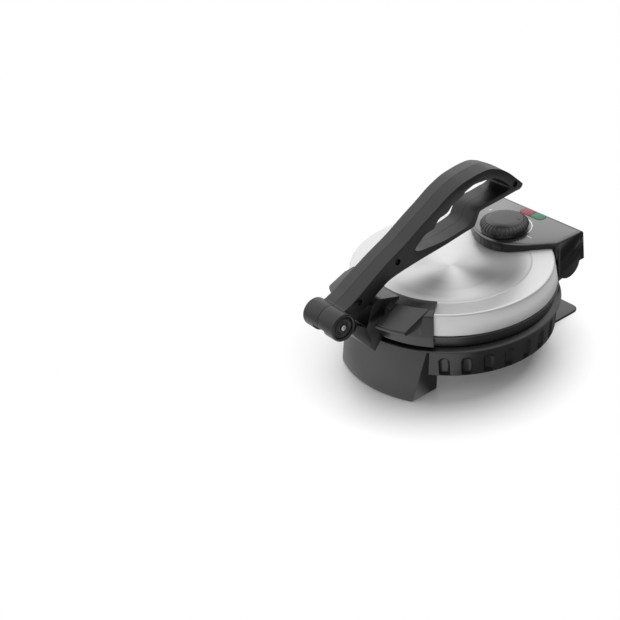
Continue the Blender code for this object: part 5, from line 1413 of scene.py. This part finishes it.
class ROTI_OT_front_bracket(bpy.types.Operator):
    """Make the bracket in front of the lid: lip, wings, arm and the tongue of the pivot"""

    bl_idname = "roti.front_bracket"
    bl_label = "Front bracket"

    def execute(self, context):
        sizes, lid = context.scene.roti_bracket, context.scene.roti_lid
        bracket = self.wall(sizes, lid)
        for side in (-1, 1):
            join(bracket, self.wing(sizes, side))
        join(bracket, self.arm(sizes))
        self.tongue(bracket)
        dress(even_normals(bracket), "lid", "housing", ["front_bracket"], 35)
        return {"FINISHED"}

    def wall(self, sizes, lid):
        """The wall in front of the lid and the lip over its band, clear of both."""
        outer = lid.ring_radius + GAP + sizes.wall
        shoulder = lid.foot_radius - lid.wall_taper + GAP + sizes.wall
        top = lid.top + GAP + sizes.lip
        line = rounded([
            (sizes.lip_radius, top), (sizes.lip_end, top), (shoulder, lid.top - 0.0012),
            (outer, lid.ring_top), (outer, sizes.bottom), (outer - sizes.wall, sizes.bottom),
            (lid.ring_radius + GAP, lid.ring_top - 0.0014),
            (lid.ring_radius + GAP, lid.ring_top + GAP * 2),
            (lid.foot_radius + GAP * 1.5, lid.ring_top + GAP * 2),
            (lid.foot_radius - lid.wall_taper + GAP * 1.2, lid.top - 0.0016),
            (lid.foot_radius - lid.wall_taper - 0.0012, lid.top + GAP),
            (sizes.lip_radius, lid.top - 0.0004)],
            [0.0009, 0.0012, 0.0020, 0.0010, 0.0008, 0.0008, 0, 0, 0, 0, 0, 0.0006])
        return round_edges(lathe("bracket_moulding", line, 60, -sizes.half_angle,
                                 sizes.half_angle * 2), 0.0005, 2, 60)

    def wing(self, sizes, side):
        """A flat-sided slab that slopes down and forwards like a cone round the lid."""
        root, high = sizes.lip_end - 0.0009, bpy.context.scene.roti_lid.top + 0.0034
        foot = 0.0880
        line = rounded([(root, high), (root + 0.0010, high - 0.0003),
                        (sizes.wing_reach, high - sizes.wing_drop),
                        (sizes.wing_reach, foot), (root, foot)],
                       [0, 0.0008, 0.0032, 0.0016, 0], steps=6)
        span = math.radians(36)
        wing = lathe("wing", line, 96, 0 if side > 0 else -span, span)
        reach = sizes.wing_outer if side > 0 else sizes.wing_outer_left
        inner, outer = sorted((side * sizes.wing_inner, side * reach))
        keep_common(wing, box("wing_sides", (inner, -0.150, 0.080), (outer, -0.070, 0.112)))
        cut(wing, lid_room(GAP * 4))
        return round_edges(wing, 0.0009, 3, 60)

    def arm(self, sizes):
        """The arm that carries the pivot, with a round room for the barrel."""
        half, barrel_room = sizes.arm_half_width, 0.0180
        outline = rounded(ARM_SIDE, ARM_CORNERS, steps=4)
        arm = prism("arm", [outline], -half, half, upright=False)
        cut(arm, lathe_along_x("barrel_room", rod(barrel_room, -4 * PAST, 4 * PAST), PIVOT),
            lid_room(GAP * 4))
        return round_edges(arm, 0.0008, 2, 40)

    def tongue(self, bracket):
        """A flat bar that reaches into the barrel, with a round eye on the pivot."""
        lean, bar_half_width, bar_length, bar_half = math.radians(-35), 0.0087, 0.0260, 0.0035
        eye_radius, eye_half_width = 0.0100, 0.0090
        ahead = Vector((math.cos(lean), math.sin(lean)))
        across = Vector((-ahead.y, ahead.x)) * bar_half
        start = Vector((PIVOT.y - AXIS_Y, PIVOT.z))
        end = start + ahead * bar_length
        line = [tuple(start + across), tuple(start - across), tuple(end - across),
                tuple(end + across)]
        eye = rod(eye_radius, -eye_half_width, eye_half_width, 0.0006, 0.0006)
        join(bracket, prism("bar", [line], -bar_half_width, bar_half_width, upright=False),
             lathe_along_x("eye", eye, PIVOT))
        cut(bracket, lathe_along_x("pin_hole", rod(PIN_BORE, -2 * PAST, 2 * PAST), PIVOT,
                                   steps=32))


# Handle. Its outline runs from the barrel back to the tip, as shares of reach and rise.
HANDLE_TOP_SHARES = (
    (0.000, 0.080), (0.038, 0.152), (0.090, 0.217), (0.143, 0.296), (0.248, 0.442),
    (0.353, 0.570), (0.436, 0.690), (0.519, 0.800), (0.583, 0.890), (0.654, 0.960),
    (0.711, 0.985), (0.767, 0.996), (0.816, 0.989), (0.860, 0.945), (0.898, 0.880),
    (0.925, 0.820), (0.955, 0.740), (0.989, 0.650), (1.000, 0.610), (0.985, 0.570))
HANDLE_UNDER_SHARES = (
    (0.955, 0.566), (0.868, 0.550), (0.767, 0.534), (0.748, 0.500), (0.737, 0.440),
    (0.718, 0.376), (0.669, 0.360), (0.556, 0.320), (0.421, 0.285), (0.289, 0.240),
    (0.233, 0.190), (0.158, 0.082), (0.083, -0.020), (0.045, -0.060))
HOLE_TOP_SHARES = (
    (0.406, 0.435), (0.432, 0.500), (0.466, 0.560), (0.504, 0.576), (0.519, 0.620),
    (0.538, 0.665), (0.564, 0.680), (0.586, 0.700), (0.602, 0.740), (0.620, 0.770),
    (0.643, 0.790), (0.664, 0.810), (0.680, 0.840), (0.703, 0.860), (0.729, 0.876),
    (0.769, 0.870), (0.808, 0.860), (0.853, 0.825), (0.900, 0.730), (0.926, 0.650))
HOLE_UNDER_SHARES = (
    (0.902, 0.615), (0.868, 0.608), (0.823, 0.597), (0.763, 0.590), (0.733, 0.560),
    (0.716, 0.490), (0.699, 0.430), (0.658, 0.405), (0.575, 0.380), (0.492, 0.384),
    (0.430, 0.398))
SCREW_SHARES = ((0.106, 0.150), (0.313, 0.389), (0.955, 0.655))
HANDLE_WIDTHS = ((0.00, 0.0002), (0.36, -0.0013), (0.80, 0.0), (1.10, 0.0))


def widening(share):
    """How much wider than its usual width the handle is at this share of its reach."""
    for (before, first), (after, second) in zip(HANDLE_WIDTHS, HANDLE_WIDTHS[1:]):
        if share <= after:
            part = max(0.0, (share - before) / (after - before))
            part = part * part * (3 - 2 * part)
            return first + part * (second - first)
    return 0.0


class ROTI_OT_handle(bpy.types.Operator):
    """Make both halves of the press handle with their halves of the barrel"""

    bl_idname = "roti.handle"
    bl_label = "Press handle"

    def execute(self, context):
        sizes = context.scene.roti_handle
        self.half(sizes, -1, "left")
        self.half(sizes, 1, "right")
        return {"FINISHED"}

    def half(self, sizes, side, word):
        start = (PIVOT.y - AXIS_Y, PIVOT.z)

        def line(shares):
            return smoothed([(start[0] + across * sizes.reach, start[1] + up * sizes.rise)
                             for across, up in shares])

        low, high = sorted((side * HALF_SEAM, side * sizes.half_width))
        hole = line(HOLE_TOP_SHARES + HOLE_UNDER_SHARES)
        half = prism("handle_" + word, [line(HANDLE_TOP_SHARES + HANDLE_UNDER_SHARES), hole], low, high,
                     upright=False)
        seam = sizes.seam / sizes.edge

        def weight(edge):
            outer = all(abs(vert.co.x) > sizes.half_width - WELD for vert in edge.verts)
            inner = all(abs(vert.co.x) < HALF_SEAM + WELD for vert in edge.verts)
            spot = edge.verts[0].co
            rim = any(abs(spot.y - AXIS_Y - y) + abs(spot.z - z) < WELD for y, z in hole)
            return (sizes.hole_edge / sizes.edge if rim else 1.0) if outer else (
                seam if inner else 0.0)

        round_chosen(half, sizes.edge, 5, weight)
        self.crown(half, line(HANDLE_TOP_SHARES), sizes)
        for vert in half.data.vertices:
            share = (vert.co.y - PIVOT.y) / sizes.reach
            vert.co.x += vert.co.x / sizes.half_width * widening(share)
        join(half, self.barrel(sizes, side))
        self.hollow(half, sizes, side)
        dress(even_normals(half), "handle", "handle", ["handle_half_" + word], 35)

    def crown(self, half, line, sizes):
        """Let the top fall from the seam to the side, as the moulding's crown does."""
        points = [Vector(point) for point in line]
        for vert in half.data.vertices:
            spot = Vector((vert.co.y - AXIS_Y, vert.co.z))
            aside = abs(vert.co.x) / sizes.half_width
            nearest = min(range(1, len(points) - 1), key=lambda k: (points[k] - spot).length)
            if aside < 0.1 or (points[nearest] - spot).length > sizes.edge * 1.2:
                continue
            along = (points[nearest + 1] - points[nearest - 1]).normalized()
            share = (spot.x - points[0].x) / sizes.reach
            fade = min(1.0, max(0.0, share / 0.06)) * min(1.0, max(0.0, (0.95 - share) / 0.10))
            fall = Vector((along.y, -along.x)) * sizes.crown * fade * aside
            vert.co.y += fall.x
            vert.co.z += fall.y

    def barrel(self, sizes, side):
        line = rod(sizes.barrel_radius, HALF_SEAM, sizes.barrel_half, 0.0019, sizes.seam,
                   steps=6)
        return lathe_along_x("barrel", line, PIVOT, side, 96)

    def hollow(self, half, sizes, side):
        """Cut the sleeve for the tongue, the pin's bore, the end's dish and screw holes."""
        rear, front = math.radians(-11), math.radians(-168)
        sleeve, outside, sleeve_half_width, dish_radius = 0.0108, 0.0465, 0.0095, 0.0130
        room = arc((0, 0), sleeve, rear, front + 2 * math.pi, 40)
        for turn in (front, (rear + front) / 2, rear):
            room.append((outside * math.cos(turn), outside * math.sin(turn)))
        room = [(PIVOT.y - AXIS_Y + across, PIVOT.z + up) for across, up in room]
        cut(half, prism("sleeve", [room], -sleeve_half_width, sleeve_half_width,
                        upright=False))
        far, cap = sizes.barrel_half, sizes.cap_radius + GAP
        dish = rounded([(0, far + PAST), (dish_radius, far + PAST), (dish_radius, far),
                        (cap, far - 0.0012), (cap, far - END_DEPTH),
                        (PIN_BORE, far - END_DEPTH), (PIN_BORE, -PAST), (0, -PAST)],
                       [0, 0, 0, 0.0004, 0.0003, 0, 0, 0])
        cut(half, lathe_along_x("dish_and_bore", dish, PIVOT, side, 64))
        for across, up in SCREW_SHARES if side > 0 else ():
            spot = PIVOT + Vector((0, across * sizes.reach, up * sizes.rise))
            face = sizes.half_width + widening(across)
            well = rod(SCREW_WELL, face - END_DEPTH, face + PAST, 0, 0.0004)
            cut(half, lathe_along_x("well", well, spot, side, 32))


class ROTI_OT_barrel_ends(bpy.types.Operator):
    """Make the caps in the barrel's ends and the pivot pin with its bright heads"""

    bl_idname = "roti.barrel_ends"
    bl_label = "Barrel ends"

    def execute(self, context):
        sizes = context.scene.roti_handle
        floor = sizes.barrel_half - END_DEPTH
        bore, face, well, ridge = 0.0034, floor + 0.0010, floor + 0.0008, floor + 0.0020
        line = rounded([
            (bore, face), (0.0046, face), (0.0052, well), (0.0078, well), (0.0086, ridge),
            (0.0100, ridge), (0.0106, face), (sizes.cap_radius, face),
            (sizes.cap_radius, floor + GAP), (bore, floor + GAP)], 0.0003)
        for side, word in ((-1, "left"), (1, "right")):
            cap = lathe_along_x("barrel_end_" + word, line, PIVOT, side, 96)
            dress(cap, "handle", "handle", ["barrel_cap_" + word])
        head, base, neck = floor + 0.0028, floor + 0.0015, 0.0029
        line = rounded([(0, head), (sizes.pin_radius, head), (sizes.pin_radius, base),
                        (neck, base), (neck, -base), (sizes.pin_radius, -base),
                        (sizes.pin_radius, -head), (0, -head)],
                       [0, 0.0009, 0, 0, 0, 0, 0.0009, 0])
        pin = lathe_along_x("pivot_pin_bright", line, PIVOT, 1, 48)
        dress(pin, "handle", "bright", ["pivot_pin"])
        return {"FINISHED"}


# Screws: the way their heads point, the solids' common name and how each one's name ends.
PAIR, THREE = ("left", "right"), ("1", "2", "3")
SCREWS = {
    "base": [("-Z", "cover_screw_", (*THREE, "4")), ("+Z", "foot_screw_", PAIR),
             ("-Z", "lower_hotplate_screw_", THREE)],
    "lid": [("-Z", "rear_cover_screw_", PAIR), ("-Z", "housing_screw_", PAIR),
            ("+Y", "arm_screw_", PAIR), ("+Z", "upper_hotplate_screw_", THREE)],
    "handle": [("+X", "handle_screw_", THREE)],
}


class ROTI_OT_screws(bpy.types.Operator):
    """Make the screws of the base, the lid and the handle, one piece for each body"""

    bl_idname = "roti.screws"
    bl_label = "Screws"

    def execute(self, context):
        for body, groups in SCREWS.items():
            points, turns, reaches = [], [], []
            screws = [(name + end, way) for way, name, ends in groups for end in ends]
            for node, way in screws:
                low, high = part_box(node)
                axis = "XYZ".index(way[1])
                sign = 1 if way[0] == "+" else -1
                point = [(low[place] + high[place]) / 2 for place in range(3)]
                point[axis] = high[axis] if sign > 0 else low[axis]
                out = Vector([sign if place == axis else 0 for place in range(3)])
                points.append(point)
                turns += list(out.to_track_quat("Z", "Y").to_euler())
                reaches.append(high[axis] - low[axis])
            mesh = bpy.data.meshes.new(body + "_screws")
            mesh.from_pydata(points, [], [])
            mesh.attributes.new("turned", "FLOAT_VECTOR", "POINT").data.foreach_set(
                "vector", turns)
            mesh.attributes.new("reach", "FLOAT", "POINT").data.foreach_set("value", reaches)
            piece = new_piece(body + "_screws", mesh)
            metal = "dark" if body == "handle" else "bright"
            run_tree(piece, screw_tree(), {
                "Head Radius": 0.0030, "Head Height": 0.0016, "Shank Radius": 0.0015,
                "Material": finish(metal)})
            dress(piece, body, metal, [node for node, _ in screws], 30)
        return {"FINISHED"}


# Stage.
class StageSettings(bpy.types.PropertyGroup):
    camera_at: FloatVectorProperty(
        name="Camera place", description="Where the camera stands", size=3, unit="LENGTH",
        default=(0.91976, -0.81242, 0.81932))
    camera_to: FloatVectorProperty(
        name="Camera target", description="The point the camera looks at", size=3,
        unit="LENGTH", default=(-0.07481, -0.11925, 0.07000))
    camera_roll: angle("Camera roll", "Turn of the camera about its own axis", -5.954)
    lens: FloatProperty(name="Lens", description="Focal length in millimetres",
                        default=75.48, min=10, max=300)
    room: strength("Room light", "Strength of the even room light", 0.50)
    mirrored: strength("Room in gloss", "Strength of the bright side of the room in gloss",
                       1.35)
    overhead: strength("Overhead light", "Power of the softbox above", 9.0)
    back: strength("Back light", "Power of the softbox behind", 6.0)
    front: strength("Front light", "Power of the softbox in front", 2.5)


# Softboxes: the place, width and height of each. They all face the machine's middle.
SOFTBOXES = {
    "overhead": ((-0.55, 0.35, 1.30), 1.2, 0.9),
    "back": ((-1.10, 1.10, 0.75), 1.4, 0.8),
    "front": ((-0.60, -1.50, 0.90), 1.0, 0.8),
}
LIT_POINT = (0, 0, 0.08)

# Ramps of the stage, over distances in metres, and how gloss sees the floor and the room.
WHITE_AWAY = between(0.0, 1.0, 0.105, 0.175)
DIM_BEHIND = between(0.0, -0.55, 0.02, 0.22)
DIM_RIGHT, NOT_IN_FRONT = between(0.0, -0.9, 0.040, 0.060), between(0.0, 1.0, -0.080, -0.064)
DIM_LEFT = between(-0.3, 0.0, -0.09, -0.03)
LIFT_FRONT = between(0.4, 0.0, -0.20, -0.13)
CLOSE_BY, FAR_OFF = between(1.0, 0.0, 0.235, 0.275), between(0.0, 1.0, 0.35, 0.42)
BEHIND, FLOOR_WHITE, FLOOR_HALF = (0.35, 0.94, 0), 0.85, 6.0
BRIGHT_SIDE, DIM_SIDE = (-0.60, 0.10, 0.79), 0.30
WHITE = (1, 1, 1, 1)


class ROTI_OT_stage(bpy.types.Operator):
    """Make the pale floor, the room, the softboxes and the camera"""

    bl_idname = "roti.stage"
    bl_label = "Stage"

    def execute(self, context):
        settings = context.scene.roti_stage
        self.floor()
        self.room(settings)
        for name, (place, width, height) in SOFTBOXES.items():
            self.softbox(name + "_softbox", place, width, height, getattr(settings, name))
        self.camera(settings)
        context.scene.view_settings.view_transform = "Standard"
        return {"FINISHED"}

    def softbox(self, name, place, width, height, power):
        light = bpy.data.lights.new(name, "AREA")
        light.shape = "RECTANGLE"
        light.size, light.size_y = width, height
        light.energy = power
        lamp = bpy.data.objects.new(name, light)
        lamp.visible_glossy = False
        bpy.context.scene.collection.objects.link(lamp)
        lamp.location = place
        lamp.rotation_euler = (Vector(LIT_POINT) - Vector(place)
                               ).to_track_quat("-Z", "Y").to_euler()

    def floor(self):
        """A white sweep that keeps the shadow near the machine and is pure white far off.

        Smooth painted board: soft, faint mirroring. Gloss sees it dimmer beside the machine,
        which gives the black mouldings their depth.
        """
        half = FLOOR_HALF
        floor = mesh_piece("studio_floor", [(-half, -half, 0), (half, -half, 0),
                                            (half, half, 0), (-half, half, 0)], [(0, 1, 2, 3)])
        base = bpy.context.scene.roti_finishes.floor
        material, tree, shader = open_material(
            "painted_floor", {"Base Color": (*base, 1), "Roughness": 0.22, "IOR": 1.45})
        where = add(tree, "ShaderNodeTexCoord")["Object"]
        place = add(tree, SPLIT_XYZ, {"Vector": where})
        away = add(tree, VECTOR_MATH, {0: where}, operation="LENGTH")
        behind = add(tree, VECTOR_MATH, {0: where, 1: BEHIND}, operation="DOT_PRODUCT")
        white_away, close_by, far_off = (
            add(tree, RAMP, {"Value": away, **limits})
            for limits in (WHITE_AWAY, CLOSE_BY, FAR_OFF))
        dim_left, dim_right = (add(tree, RAMP, {"Value": place["X"], **limits})
                               for limits in (DIM_LEFT, DIM_RIGHT))
        not_in_front, lift_front = (add(tree, RAMP, {"Value": place["Y"], **limits})
                                    for limits in (NOT_IN_FRONT, LIFT_FRONT))
        dim = add(tree, MATH, {0: add(tree, RAMP, {"Value": behind, **DIM_BEHIND}),
                               1: dim_right * not_in_front}, operation="MINIMUM")
        dim = add(tree, MATH, {0: dim_left, 1: dim}, operation="MINIMUM")
        dimmed = add(tree, MATH, {0: close_by, 1: far_off}, operation="MAXIMUM")
        ray = add(tree, "ShaderNodeLightPath")
        gloss = ray["Is Glossy Ray"]
        white = add(tree, "ShaderNodeEmission", {
            "Color": WHITE, "Strength": gloss * (lift_front * close_by + dim * dimmed) + 1.0})
        share = add(tree, MATH, {
            0: ray["Is Camera Ray"] * white_away + gloss * FLOOR_WHITE,
            1: ray["Is Transmission Ray"]}, operation="MAXIMUM")
        mixed = add(tree, "ShaderNodeMixShader", {
            0: share, 1: Value(tree, shader.outputs["BSDF"]), 2: white})
        fill(tree, tree.nodes["Material Output"], {"Surface": mixed})
        floor.data.materials.append(material)

    def room(self, settings):
        """A white room. In gloss it is bright up and to the left, and dim to the right."""
        world = bpy.data.worlds.new("studio_room")
        bpy.context.scene.world = world
        world.use_nodes = True
        tree = world.node_tree
        way = add(tree, "ShaderNodeTexCoord")["Generated"]
        upward = add(tree, VECTOR_MATH, {0: way, 1: BRIGHT_SIDE}, operation="DOT_PRODUCT")
        mirrored = add(tree, RAMP, {
            "Value": upward, **between(DIM_SIDE, settings.mirrored, -0.2, 0.8)})
        ray = add(tree, "ShaderNodeLightPath")
        lit = ray["Is Glossy Ray"] * (mirrored - settings.room) + settings.room
        seen = add(tree, MATH, {0: ray["Is Camera Ray"], 1: ray["Is Transmission Ray"]},
                   operation="MAXIMUM")
        fill(tree, tree.nodes["Background"], {
            "Color": WHITE, "Strength": lit + (1.0 - lit) * seen})

    def camera(self, settings):
        view = bpy.data.cameras.new("photo_camera")
        view.lens = settings.lens
        view.sensor_width = 36
        view.clip_end = 20
        camera = bpy.data.objects.new("photo_camera", view)
        bpy.context.scene.collection.objects.link(camera)
        place, target = Vector(settings.camera_at), Vector(settings.camera_to)
        turn = (target - place).to_track_quat("-Z", "Y").to_matrix()
        camera.rotation_euler = (turn @ Matrix.Rotation(settings.camera_roll, 3, "Z")
                                 ).to_euler()
        camera.location = place
        bpy.context.scene.camera = camera


class ROTI_PT_pieces(bpy.types.Panel):
    """The pieces of the roti maker with their sizes and colours"""

    bl_label = "Roti maker"
    bl_idname = "ROTI_PT_pieces"
    bl_space_type = "VIEW_3D"
    bl_region_type = "UI"
    bl_category = "Roti maker"

    def draw(self, context):
        for group, (settings, operators) in GROUPS.items():
            area = self.layout.box()
            for operator in operators:
                area.operator(operator.bl_idname)
            values = getattr(context.scene, group)
            for name in settings.__annotations__:
                area.prop(values, name)


# Which sizes belong to which pieces, in the order in which the pieces are made.
GROUPS = {
    "roti_finishes": (Finishes, []),
    "roti_base": (BaseSizes, [ROTI_OT_fluted_base, ROTI_OT_underside, ROTI_OT_hotplates]),
    "roti_lid": (LidSizes, [ROTI_OT_lid_shell, ROTI_OT_lid_ring]),
    "roti_control": (ControlSizes, [ROTI_OT_control_housing, ROTI_OT_lenses, ROTI_OT_knob]),
    "roti_bracket": (BracketSizes, [ROTI_OT_front_bracket]),
    "roti_handle": (HandleSizes, [ROTI_OT_handle, ROTI_OT_barrel_ends, ROTI_OT_screws]),
    "roti_stage": (StageSettings, [ROTI_OT_stage]),
}


def register():
    for group, (settings, operators) in GROUPS.items():
        bpy.utils.register_class(settings)
        setattr(bpy.types.Scene, group, PointerProperty(type=settings))
        for operator in operators:
            bpy.utils.register_class(operator)
    bpy.utils.register_class(ROTI_PT_pieces)


def unregister():
    bpy.utils.unregister_class(ROTI_PT_pieces)
    for group, (settings, operators) in reversed(list(GROUPS.items())):
        for operator in reversed(operators):
            bpy.utils.unregister_class(operator)
        delattr(bpy.types.Scene, group)
        bpy.utils.unregister_class(settings)


def main():
    register()
    for settings, operators in GROUPS.values():
        for operator in operators:
            family, name = operator.bl_idname.split(".")
            result = getattr(getattr(bpy.ops, family), name)()
            if result != {"FINISHED"}:
                raise RuntimeError(operator.bl_label + " was not made")


if __name__ == "__main__":
    main()
